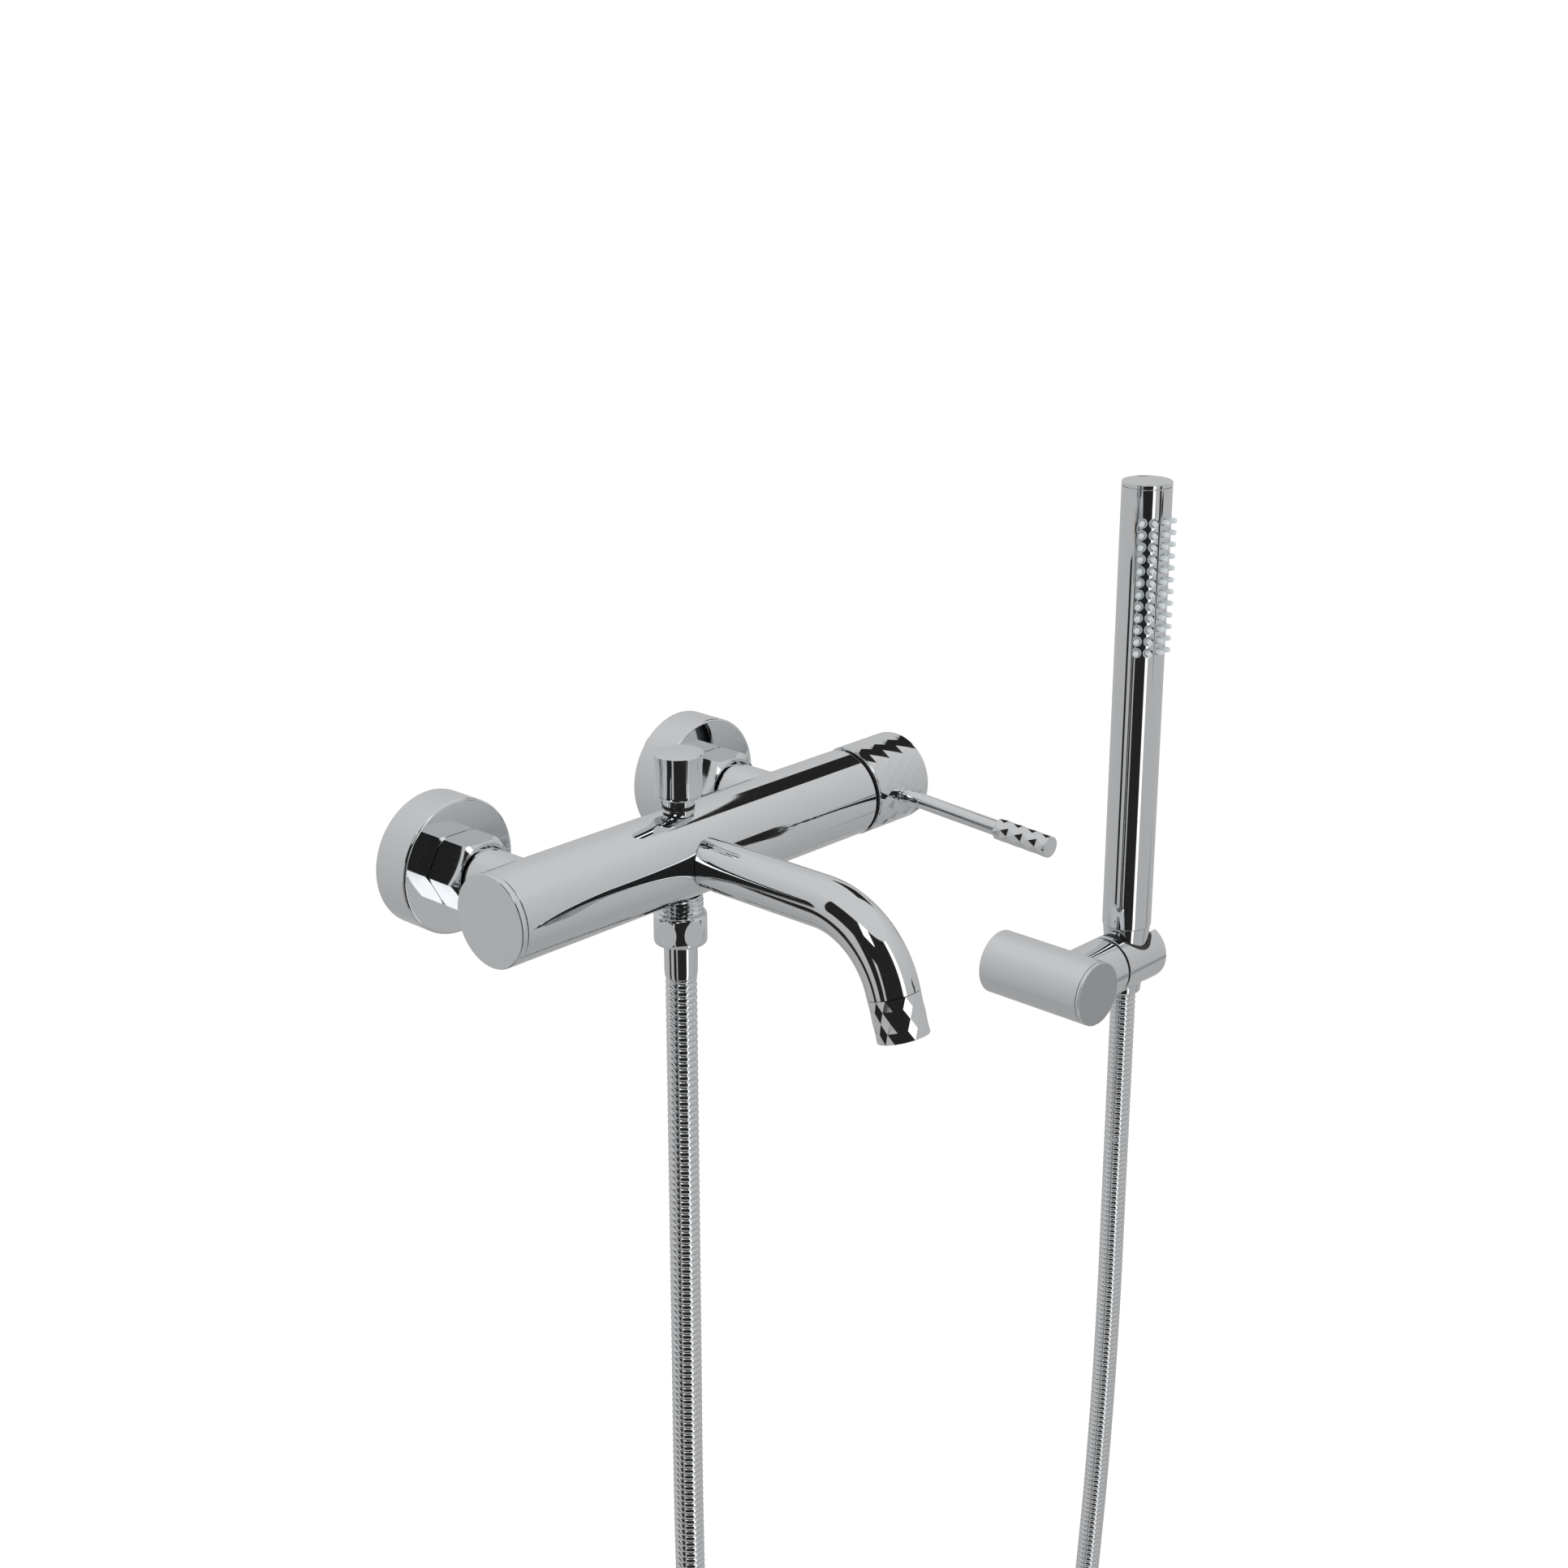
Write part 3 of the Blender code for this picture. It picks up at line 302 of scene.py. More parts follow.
def turnedShell(corners, at, along, sides=96, side=None, steps=4):
    outline = roundCorners(corners, steps)
    turn, at = turnTo(along, side), Vector(at)
    points, rings, faces, normals = [], [], [], []
    for place, _, _ in outline:
        count = 1 if place.x < 1e-5 else sides
        rings.append([len(points) + i for i in range(count)])
        points += [at + turn @ Vector((place.x * cos(2 * pi * i / sides), place.x * sin(2 * pi * i / sides),
                                       place.y))
                   for i in range(count)]
    for k in range(len(outline)):
        n = (k + 1) % len(outline)
        low, high = rings[k], rings[n]
        if len(low) == len(high) == 1 or (outline[n][0] - outline[k][0]).length < 1e-5:
            continue
        for i in range(sides):
            face, corner = [], []
            for ring, j, normal in ((low, i, outline[k][2]), (low, i + 1, outline[k][2]),
                                    (high, i + 1, outline[n][1]), (high, i, outline[n][1])):
                point = ring[j % len(ring)]
                if point in face:
                    continue
                angle = 2 * pi * j / sides
                local = Vector((normal.x * cos(angle), normal.x * sin(angle), normal.y))
                if len(ring) == 1:
                    local = Vector((0, 0, 1 if normal.y > 0 else -1))
                face.append(point)
                corner.append(turn @ local)
            faces.append(face)
            normals += corner
    return points, faces, normals


def lanternShell(radius, sides, bands, band, low, at, along, side=None):
    # diamond facets: rings of corners on one cylinder, each turned half a step from the last
    turn, at = turnTo(along, side), Vector(at)
    points = []
    for i in range(bands + 1):
        for j in range(sides):
            angle = 2 * pi * (j + 0.5 * (i % 2)) / sides
            points.append(at + turn @ Vector((radius * cos(angle), radius * sin(angle), low + band * i)))
    faces = [[j for j in reversed(range(sides))], [bands * sides + j for j in range(sides)]]
    for i in range(bands):
        lower, upper = i * sides, (i + 1) * sides
        for j in range(sides):
            k = (j + 1) % sides
            if i % 2 == 0:
                faces += [[lower + j, lower + k, upper + j], [lower + k, upper + k, upper + j]]
            else:
                faces += [[lower + j, upper + k, upper + j], [lower + j, lower + k, upper + k]]
    return points, faces, None


def threadShell(crest, root, pitch, low, high, at, along, sides=64, bore=0.0, point=0.0):
    # a right-hand screw thread as one skin, that fades into its core at both ends. point is a tapered tip's length
    turn, at = turnTo(along), Vector(at)
    rows = max(8, round((high - low) / pitch * 8))
    points, faces = [], []
    for i in range(rows + 1):
        height = low + (high - low) * i / rows
        fade = min(1.0, (height - low) / (0.6 * pitch), (high - height) / (0.6 * pitch))
        taper = min(1.0, max(0.05, (high - height) / point)) if point else 1.0
        for j in range(sides):
            phase = ((height - low) / pitch - j / sides) % 1.0
            ridge = max(0.0, min(1.0, 2.4 * (0.5 - abs(phase - 0.5)) - 0.1))
            radius = (root + (crest - root) * ridge * max(fade, 0)) * taper
            angle = 2 * pi * j / sides
            points.append(at + turn @ Vector((radius * cos(angle), radius * sin(angle), height)))
    for i in range(rows):
        for j in range(sides):
            k = (j + 1) % sides
            faces.append([i * sides + j, i * sides + k, (i + 1) * sides + k, (i + 1) * sides + j])
    if bore:
        start = len(points)
        for height in (low, high):
            points += [at + turn @ Vector((bore * cos(2 * pi * j / sides), bore * sin(2 * pi * j / sides),
                                           height))
                       for j in range(sides)]
        last = rows * sides
        for j in range(sides):
            k = (j + 1) % sides
            faces += [[j, start + j, start + k, k], [last + j, last + k, start + sides + k,
                                                     start + sides + j],
                      [start + j, start + sides + j, start + sides + k, start + k]]
    else:
        faces += [list(reversed(range(sides))), [rows * sides + j for j in range(sides)]]
    return points, faces, None


def sweptShell(path, radius, sides=96):
    # a round bar along a path in a plane of constant X, with square ends
    points, faces, normals, out = [], [], [], []
    for index, here in enumerate(path):
        way = (path[min(index + 1, len(path) - 1)] - path[max(index - 1, 0)]).normalized()
        across = right.cross(way)
        for j in range(sides):
            normal = right * cos(2 * pi * j / sides) + across * sin(2 * pi * j / sides)
            points.append(here + normal * radius)
            out.append(normal)
    for i in range(len(path) - 1):
        for j in range(sides):
            k = (j + 1) % sides
            face = [i * sides + j, i * sides + k, (i + 1) * sides + k, (i + 1) * sides + j]
            faces.append(face)
            normals += [out[p] for p in face]
    last = (len(path) - 1) * sides
    ends = ((list(reversed(range(sides))), (path[0] - path[1]).normalized()),
            ([last + j for j in range(sides)], (path[-1] - path[-2]).normalized()))
    for face, normal in ends:
        faces.append(face)
        normals += [normal] * sides
    return points, faces, normals


def makePiece(name, shells, finish, angle=30):
    points, faces, normals = [], [], []
    for shellPoints, shellFaces, shellNormals in shells:
        start = len(points)
        points += [tuple(Vector(p) * mm) for p in shellPoints]
        faces += [[start + i for i in face] for face in shellFaces]
        if shellNormals is None:
            normals = None
        elif normals is not None:
            normals += shellNormals
    mesh = bpy.data.meshes.new(name)
    mesh.from_pydata(points, [], faces)
    mesh.shade_smooth()
    if normals is None:
        mesh.set_sharp_from_angle(angle=radians(angle))
    else:
        mesh.normals_split_custom_set([tuple(n) for n in normals])
    mesh.materials.append(finish)
    piece = bpy.data.objects.new(name, mesh)
    bpy.context.scene.collection.objects.link(piece)
    return piece


def bandsOf(corners, at, along, steps=4):
    # the bands of a turned surface, for cleanNormals
    outline = roundCorners(corners, steps)
    at, along = Vector(at), along.normalized()
    return [(at, along, a[0], b[0], a[2], b[1]) for a, b in zip(outline, outline[1:] + outline[:1])]


def bandNormal(band, point):
    at, along, first, last, firstNormal, lastNormal = band
    height = (point - at).dot(along)
    radial = point - at - along * height
    distance = radial.length
    span = last - first
    if span.length < 1e-6 or distance < 1e-6:
        return None
    place = Vector((distance, height)) - first
    share = min(1.0, max(0.0, place.dot(span) / span.length_squared))
    if (place - span * share).length > 0.03:
        return None
    flat = firstNormal.lerp(lastNormal, share)
    return (radial / distance * flat.x + along * flat.y).normalized()


def cleanNormals(mesh, bands):
    # after a boolean: each face on a turned surface gets that surface's own normals, and the others stay flat
    normals = []
    for face in mesh.polygons:
        spots = [mesh.vertices[i].co * 1000 for i in face.vertices]
        best, found = 0.85, [face.normal.copy()] * len(spots)
        for band in bands:
            trial = [bandNormal(band, spot) for spot in spots]
            if None in trial:
                continue
            match = min(abs(n.dot(face.normal)) for n in trial)
            if match > best:
                best, found = match, [n if n.dot(face.normal) > 0 else -n for n in trial]
        normals += [tuple(n) for n in found]
    mesh.shade_smooth()
    mesh.normals_split_custom_set(normals)


def applied(piece):
    # bakes the piece's modifiers into a plain mesh
    bpy.context.view_layer.update()
    mesh = bpy.data.meshes.new_from_object(piece.evaluated_get(bpy.context.evaluated_depsgraph_get()))
    piece.modifiers.clear()
    old = piece.data
    if piece.type == "MESH":
        piece.data = mesh
        name = old.name
        bpy.data.meshes.remove(old)
        mesh.name = name
        return piece
    name = piece.name
    bpy.data.objects.remove(piece)
    result = bpy.data.objects.new(name, mesh)
    bpy.context.scene.collection.objects.link(result)
    return result


def carve(piece, steps, bands):
    # steps are (operation, shells of the tool)
    tools = []
    for index, (operation, shells) in enumerate(steps):
        tool = makePiece(f"{piece.name}Tool{index}", shells, piece.data.materials[0])
        cut = piece.modifiers.new(tool.name, "BOOLEAN")
        cut.operation, cut.solver, cut.object = operation, "EXACT", tool
        tools.append(tool)
    applied(piece)
    for tool in tools:
        mesh = tool.data
        bpy.data.objects.remove(tool)
        bpy.data.meshes.remove(mesh)
    cleanNormals(piece.data, bands)
    return piece


def boxShell(size, at, turn=None):
    half, turn = Vector(size) / 2, turn or Matrix.Identity(3)
    points = [Vector(at) + turn @ Vector((x * half.x, y * half.y, z * half.z)) for x in (-1, 1) for y in (-1,
                                                                                                          1)
              for z in (-1, 1)]
    return points, [[0, 1, 3, 2], [4, 6, 7, 5], [0, 4, 5, 1], [2, 3, 7, 6], [0, 2, 6, 4], [1, 5, 7, 3]], None


def fit(piece, body, *nodes):
    # hands a finished piece to its body, in place of its CAD nodes
    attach(piece, body)
    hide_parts(*nodes)
    return piece


# the metal hose: a wound strip, so its grooves are a right-hand helix
def ribbedHoseTree():
    tree = bpy.data.node_groups.new("ribbedHose", "GeometryNodeTree")
    sockets = {}
    tree.interface.new_socket("Route", in_out="INPUT", socket_type="NodeSocketGeometry")
    for name, kind, value in (("Outer radius", "Float", 0.007), ("Rib pitch", "Float", 0.0031),
                              ("Groove depth", "Float", 0.0006), ("Sides", "Int", 24),
                              ("Finish", "Material", None)):
        socket = tree.interface.new_socket(name, in_out="INPUT", socket_type="NodeSocket" + kind)
        if value is not None:
            socket.default_value = value
        sockets[name] = socket.identifier
    tree.interface.new_socket("Hose", in_out="OUTPUT", socket_type="NodeSocketGeometry")
    given = addNode(tree, "NodeGroupInput")

    def calc(operation, first, second=None):
        node = addNode(tree, "ShaderNodeMath", {"operation": operation})
        for index, value in enumerate((first, second)):
            if isinstance(value, (int, float)):
                node.inputs[index].default_value = value
            elif value is not None:
                tree.links.new(value, node.inputs[index])
        return node.outputs[0]

    route, sides, pitch = given.outputs["Route"], given.outputs["Sides"], given.outputs["Rib pitch"]
    length = addNode(tree, "GeometryNodeCurveLength", links={"Curve": route}).outputs["Length"]
    # six rows of points to a rib, and one rib more than the length, which the helix uses up
    rows = calc("ADD", calc("MULTIPLY", calc("ADD", calc("CEIL", calc("DIVIDE", length, pitch)), 1), 6), 1)
    grid = addNode(tree, "GeometryNodeMeshGrid", {"Size X": 1.0, "Size Y": 1.0},
                   {"Vertices X": calc("ADD", sides, 1), "Vertices Y": rows})
    place = addNode(tree, "ShaderNodeSeparateXYZ", links={"Vector": addNode(tree,
                                                                            "GeometryNodeInputPosition").outputs[0]})
    lastRow = calc("SUBTRACT", rows, 1)
    row = calc("ROUND", calc("MULTIPLY", calc("ADD", place.outputs["Y"], 0.5), lastRow))
    turn = calc("DIVIDE", calc("ROUND", calc("MULTIPLY", calc("ADD", place.outputs["X"], 0.5), sides)), sides)
    step = calc("MODULO", row, 6)

    def table(values):
        node = addNode(tree, "GeometryNodeIndexSwitch", {"data_type": "FLOAT"})
        for _ in range(len(values) - 2):
            node.index_switch_items.new()
        tree.links.new(step, node.inputs["Index"])
        for index, value in enumerate(values):
            node.inputs[index + 1].default_value = value
        return node.outputs[0]

    share = table((0.0, 0.1, 0.22, 0.5, 0.78, 0.9))
    drop = calc("MULTIPLY", table((1.0, 0.5, 0.14, 0.0, 0.14, 0.5)), given.outputs["Groove depth"])
    wanted = calc("MULTIPLY", calc("SUBTRACT", calc("ADD", calc("FLOOR", calc("DIVIDE", row, 6)), share),
                                   turn), pitch)
    along = calc("MINIMUM", calc("MAXIMUM", wanted, 0), length)
    inside = calc("COMPARE", along, wanted)
    inside.node.inputs[2].default_value = 1e-7
    ends = calc("ADD", calc("LESS_THAN", row, 0.5), calc("GREATER_THAN", row, calc("SUBTRACT", lastRow, 0.5)))
    radius = calc("MULTIPLY", calc("SUBTRACT", given.outputs["Outer radius"], calc("MULTIPLY", drop, inside)),
                  calc("SUBTRACT", 1, ends))
    sample = addNode(tree, "GeometryNodeSampleCurve", {"mode": "LENGTH"}, {"Curves": route, "Length": along})
    third = addNode(tree, "ShaderNodeVectorMath", {"operation": "CROSS_PRODUCT"})
    tree.links.new(sample.outputs["Tangent"], third.inputs[0])
    tree.links.new(sample.outputs["Normal"], third.inputs[1])
    angle = calc("MULTIPLY", turn, 2 * pi)
    spot = sample.outputs["Position"]
    for way, share in ((sample.outputs["Normal"], calc("COSINE", angle)),
                       (third.outputs[0], calc("SINE", angle))):
        arm = addNode(tree, "ShaderNodeVectorMath", {"operation": "SCALE"},
                      {"Vector": way, "Scale": calc("MULTIPLY", radius, share)})
        total = addNode(tree, "ShaderNodeVectorMath", {"operation": "ADD"})
        tree.links.new(spot, total.inputs[0])
        tree.links.new(arm.outputs[0], total.inputs[1])
        spot = total.outputs[0]
    shaped = addNode(tree, "GeometryNodeSetPosition", links={"Geometry": grid.outputs["Mesh"],
                                                             "Position": spot})
    welded = addNode(tree, "GeometryNodeMergeByDistance", {"Distance": 0.00001},
                     {"Geometry": shaped.outputs[0]})
    plain = addNode(tree, "GeometryNodeRealizeInstances", links={"Geometry": welded.outputs[0]})
    coated = addNode(tree, "GeometryNodeSetMaterial", links={"Geometry": plain.outputs[0],
                                                             "Material": given.outputs["Finish"]})
    addNode(tree, "NodeGroupOutput", links={"Hose": coated.outputs[0]})
    return tree, sockets


def makeHose(name, line, tree, sockets):
    curve = bpy.data.curves.new(name, "CURVE")
    curve.dimensions = "3D"
    spline = curve.splines.new("POLY")
    spline.points.add(len(line) - 1)
    for knot, point in zip(spline.points, line):
        knot.co = (*(Vector(point) * mm), 1)
    piece = bpy.data.objects.new(name, curve)
    bpy.context.scene.collection.objects.link(piece)
    wind = piece.modifiers.new("wind", "NODES")
    wind.node_group = tree
    for key, value in (("Outer radius", hose["diameter"] / 2 * mm), ("Rib pitch", hose["ribPitch"] * mm),
                       ("Groove depth", hose["grooveDepth"] * mm), ("Sides", hose["sides"]),
                       ("Finish", chrome)):
        wind[sockets[key]] = value
    piece = applied(piece)
    mesh = piece.data
    outward = sum((face.center - Vector(min(line,
                                            key=lambda p: (Vector(p) * mm - face.center).length)) * mm).dot(face.normal)
                  for face in list(mesh.polygons)[200:260])
    if outward < 0:
        mesh.flip_normals()
    mesh.shade_smooth()
    if not mesh.materials:
        mesh.materials.append(chrome)
    return piece


windTree, windSockets = ribbedHoseTree()
runLine = hoseLine()
tailLine = [Vector((375, -48.3,
                    hose["tailTop"] + (hose["tailBottom"] - hose["tailTop"]) * i / 20)) for i in range(21)]
hoseRun = makeHose("hoseRun", runLine, windTree, windSockets)
hoseTail = makeHose("hoseTail", tailLine, windTree, windSockets)
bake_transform(hoseRun)
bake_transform(hoseTail)
for piece, node, line, length in ((hoseRun, "hose_run", runLine, 1.41),
                                  (hoseTail, "hose_tail", tailLine, 0.09)):
    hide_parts(node)
print("hose ready", len(hoseRun.data.polygons), "faces")


# mixer body with its two inlet necks, and the plug in its left end
axisAt = Vector((0, -75, 0))
mixer = {"radius": 20.0, "left": -104.0, "right": 106.0, "edge": 0.5, "neck": 12.8, "inlets": (-75.0, 75.0)}


def alongBody(x, y=0.0, z=0.0):
    return axisAt + Vector((x, y, z))


barrel = [(0, mixer["left"]), (mixer["radius"], mixer["left"], mixer["edge"]),
          (mixer["radius"], mixer["right"], mixer["edge"]),
          (17.6, mixer["right"], 0.2), (17.6, 100), (0, 100)]
body = makePiece("mixerBody", [turnedShell(barrel, axisAt, right, 144)], chrome)
neck = [(0, -66), (mixer["neck"], -66), (mixer["neck"], -36.4, 0.3), (11.3, -36.4), (11.3, -33.1),
        (mixer["neck"], -33.1),
        (mixer["neck"], -30.8), (0, -30.8)]
bands = bandsOf(barrel, axisAt, right)
necks = []
for place in mixer["inlets"]:
    necks.append(("UNION", [turnedShell(neck, (place, 0, 0), inward, 96)]))
    bands += bandsOf(neck, (place, 0, 0), inward)
fit(carve(body, necks, bands), "root", "mixer_body")

plugFace = mixer["left"] - 0.3
fit(makePiece("bodyEndCap", [turnedShell([(0, plugFace - 2.7), (mixer["radius"], plugFace - 2.7, 0.6),
                                          (mixer["radius"], plugFace, 0.15),
                                          (12, plugFace), (12, mixer["left"] + 8), (0, mixer["left"] + 8)],
                                          axisAt, right, 144)],
              chrome), "root", "body_end_cap")
print("body ready")


# unions, rosettes and union nuts
inlet = {"flats": 30.0, "nutBack": -18.9, "nutFront": -35.5, "rosette": 29.7, "rosetteDepth": 18.6,
         "union": 13.2,
         "threadCrest": 10.4, "threadRoot": 9.25, "threadPitch": 1.814, "offset": 7.5}


def makeNut(name, flats, crown, low, high, bore, at, along, side, sides=144):
    nut = makePiece(name, [turnedShell(crown, at, along, sides)], chrome)
    prism = [(0, low - 1), (flats / sqrt(3), low - 1), (flats / sqrt(3), high + 1), (0, high + 1)]
    hole = [(0, low - 1), (bore, low - 1), (bore, high + 1), (0, high + 1)]
    return carve(nut, [("INTERSECT", [turnedShell(prism, at, along, 6, side)]),
                       ("DIFFERENCE", [turnedShell(hole, at, along, 96)])],
                 bandsOf(crown, at, along) + bandsOf(hole, at, along))


for sideName, place in (("Left", mixer["inlets"][0]), ("Right", mixer["inlets"][1])):
    node = sideName.lower()
    at = Vector((place, 0, 0))
    front, depth = -inlet["rosetteDepth"], 1.3
    rosette = [(inlet["rosette"], 0, 0.3), (inlet["rosette"], front, 1.2), (13.6, front, 0.3),
               (13.6, front + depth),
               (inlet["rosette"] - depth, front + depth, 0.8), (inlet["rosette"] - depth, 0)]
    fit(makePiece("rosette" + sideName, [turnedShell(rosette, at, inward, 144)], chrome), "root",
        "rosette_" + node)
    corner = inlet["flats"] / sqrt(3) - 0.08
    low, high = inlet["nutFront"], inlet["nutBack"]
    crown = [(0, low), (inlet["flats"] / 2 - 0.4, low, 0.4), (corner, low + 1.9, 1.0),
             (corner, high - 1.2, 0.8),
             (corner - 1.6, high, 0.3), (0, high)]
    fit(makeNut("unionNut" + sideName, inlet["flats"], crown, low, high, 13.3, at, inward, right), "root",
        "union_nut_" + node)
    shank = [(7, -28.5), (inlet["union"], -28.5, 0.4), (inlet["union"], -3, 0.6), (7, -3)]
    wallThread = threadShell(inlet["threadCrest"], inlet["threadRoot"], inlet["threadPitch"], -4, 13.2,
                             at + up * inlet["offset"], inward, 72, bore=7.0)
    leadIn = turnedShell([(7, 12.8), (9.2, 12.8), (9.2, 15.2), (8.4, 16), (7, 16)], at + up * inlet["offset"],
                         inward, 72)
    fit(makePiece("union" + sideName, [turnedShell(shank, at, inward, 96), wallThread, leadIn], brass),
        "root", "union_" + node)
print("inlets ready")


# black collar and faceted handle cap with its lever, which droop a little together
lever = {"x": 125.0, "radius": 3.55, "root": 5.6, "shoulder": 75.4, "end": 104.0, "droop": 3.0,
         "tipRadius": 4.9,
         "tipSides": 8, "tipBands": 7, "tipDisc": 1.3}
cap = {"start": 108.0, "end": 142.0, "radius": 20.5, "bore": 18.9, "sides": 24, "bands": 7, "rim": 0.9}
droop = Matrix.Rotation(radians(lever["droop"]), 3, "X")
leverAt = alongBody(lever["x"])
leverWay, leverSide = droop @ -inward, droop @ up

collar = [(17.5, 106.3), (18.4, 106.3, 0.2), (18.4, 107.2, "soft"), (18.15, 110), (17.2, 113.4, "soft"),
          (15.6, 116.6, "soft"),
          (13.2, 119.4), (13.2, 107.6), (17.5, 107.6)]
fit(makePiece("domeCollar", [turnedShell(collar, axisAt, right, 120)], blackAcetal), "root", "dome_collar")

bandWidth = (cap["end"] - cap["start"] - 2 * cap["rim"]) / cap["bands"]
handleCap = makePiece("handleCap", [lanternShell(cap["radius"], cap["sides"], cap["bands"], bandWidth,
                                                 cap["start"] + cap["rim"],
                                                 axisAt, right, leverSide)], chrome)
rimRadius = cap["radius"] - 0.25
rims = [[(0, cap["start"]), (rimRadius, cap["start"], 0.25), (rimRadius, cap["start"] + cap["rim"] + 0.15),
         (0, cap["start"] + 1)],
        [(0, cap["end"] - 1), (rimRadius, cap["end"] - cap["rim"] - 0.15), (rimRadius, cap["end"], 0.35),
         (0, cap["end"])]]
hollow = [(0, cap["start"] - 1), (cap["bore"], cap["start"] - 1), (cap["bore"], cap["end"] - 4),
          (8, cap["end"] - 4),
          (8, lever["x"] - 4.5), (0, lever["x"] - 4.5)]
leverHole = [(0, 0), (lever["radius"] + 0.15, 0), (lever["radius"] + 0.15, 22), (0, 22)]
screwHole = [(0, 3.9), (2.2, 3.9), (2.2, 22), (0, 22)]
# the rim next to the wall is cut back, so that the cap can tip over the collar
leanTurn = droop @ Matrix.Rotation(-radians(21.5), 3, "Z")
relief = boxShell((60, 60, 60), alongBody(107) + droop @ Vector((1, 2, 0)) + leanTurn @ Vector((-30, 30, 0)),
                  leanTurn)
capBands = bandsOf(hollow, axisAt, right) + bandsOf(leverHole, leverAt, leverWay) + bandsOf(screwHole,
                                                                                            leverAt,
                                                                                            -leverSide)
for rim in rims:
    capBands += bandsOf(rim, axisAt, right)
carve(handleCap, [("UNION", [turnedShell(rims[0], axisAt, right, 144)]),
                  ("UNION", [turnedShell(rims[1], axisAt, right, 144)]),
                  ("DIFFERENCE", [turnedShell(hollow, axisAt, right, 96)]),
                  ("DIFFERENCE", [turnedShell(leverHole, leverAt, leverWay, 48)]),
                  ("DIFFERENCE", [turnedShell(screwHole, leverAt, -leverSide, 32)]),
                  ("DIFFERENCE", [relief])], capBands)
fit(handleCap, "handle", "handle_cap")

rodShell = turnedShell([(0, lever["root"]), (lever["radius"], lever["root"]),
                        (lever["radius"], lever["shoulder"] - 0.3, 0.5),
                        (2.3, lever["shoulder"] - 0.3), (2.3, lever["shoulder"] + 6),
                        (0, lever["shoulder"] + 6)],
                       leverAt, leverWay, 64)
seat = turnedShell([(3, 19.2), (lever["radius"] + 0.75, 19.2), (lever["radius"] + 0.75, 21.2, 0.35),
                    (3, 21.2)], leverAt, leverWay, 64)
fit(makePiece("leverRod", [rodShell, seat], chrome), "handle", "lever_rod")
tipBand = (lever["end"] - lever["shoulder"] - lever["tipDisc"]) / lever["tipBands"]
leverTip = makePiece("leverTip", [lanternShell(lever["tipRadius"], lever["tipSides"], lever["tipBands"],
                                               tipBand, lever["shoulder"],
                                               leverAt, leverWay, leverSide)], chrome)
disc = [(0, lever["end"] - 1.4), (lever["tipRadius"] - 0.1, lever["end"] - 1.4),
        (lever["tipRadius"] - 0.1, lever["end"], 0.25),
        (0, lever["end"])]
tipHole = [(0, lever["shoulder"] - 1), (2.6, lever["shoulder"] - 1), (2.6, lever["shoulder"] + 6.3),
           (0, lever["shoulder"] + 6.3)]
carve(leverTip, [("UNION", [turnedShell(disc, leverAt, leverWay, 64)]),
                 ("DIFFERENCE", [turnedShell(tipHole, leverAt, leverWay, 48)])],
      bandsOf(disc, leverAt, leverWay) + bandsOf(tipHole, leverAt, leverWay))
fit(leverTip, "handle", "lever_tip")
print("lever ready")


# diverter: bonnet with its ring, and the pull knob
diverter = {"groove": (20.7, 22.3), "bonnetTop": 25.6, "knobBottom": 26.1, "knobTop": 45.4}
low, high = diverter["groove"]
bonnet = [(2.8, 12), (6.7, 12), (6.7, low, 0.15), (5.7, low), (5.7, high), (6.7, high, 0.15),
          (6.7, diverter["bonnetTop"], 0.4),
          (2.8, diverter["bonnetTop"])]
fit(makePiece("diverterBonnet", [turnedShell(bonnet, axisAt, up, 72)], chrome), "root", "diverter_bonnet")
fit(makePiece("bonnetRing", [turnedShell([(6, low + 0.3), (6.9, low + 0.3, 0.3), (6.9, high - 0.3, 0.3),
                                          (6, high - 0.3)], axisAt, up, 72)],
              rubber), "root", "bonnet_ring")
low, high = diverter["knobBottom"], diverter["knobTop"]
knob = [(2.8, low), (9.7, low), (10.35, low + 0.5, "soft"), (10.28, low + 1.8, "soft"),
        (10.18, low + 4, "soft"), (10.1, low + 7, "soft"),
        (10.1, low + 9.5, "soft"), (10.17, low + 12, "soft"), (10.35, low + 14.5, "soft"),
        (10.62, low + 17, "soft"),
        (10.9, high - 0.25, 0.12), (10.6, high, 0.15), (8.0, high + 0.38, "soft"), (5.0, high + 0.7, "soft"),
        (2.5, high + 0.86, "soft"),
        (0, high + 0.9), (0, 38.3), (2.8, 38.3)]
fit(makePiece("diverterKnob", [turnedShell(knob, axisAt, up, 120)], chrome), "diverter", "diverter_knob")

# the return spring sits between the valve's plate and the bonnet, and in the tap it shortens as the knob is pulled up;
# here it is built at one length and does not move with the knob
spring = {"radius": 4.6, "wire": 0.5, "turns": 6, "low": -9.6, "high": 11.2, "pull": 7.0}
coilSteps = 24
coil = [axisAt + Vector((spring["radius"] * cos(2 * pi * i / coilSteps),
                         spring["radius"] * sin(2 * pi * i / coilSteps),
                         spring["low"] + (spring["high"] - spring["low"]) * i / (spring["turns"] * coilSteps)))
        for i in range(spring["turns"] * coilSteps + 1)]
diverterSpring = makePiece("diverterSpring", [sweptShell(coil, spring["wire"], 10)], steel)
fit(diverterSpring, "root", "diverter_spring")
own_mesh(diverterSpring)
print("diverter ready")


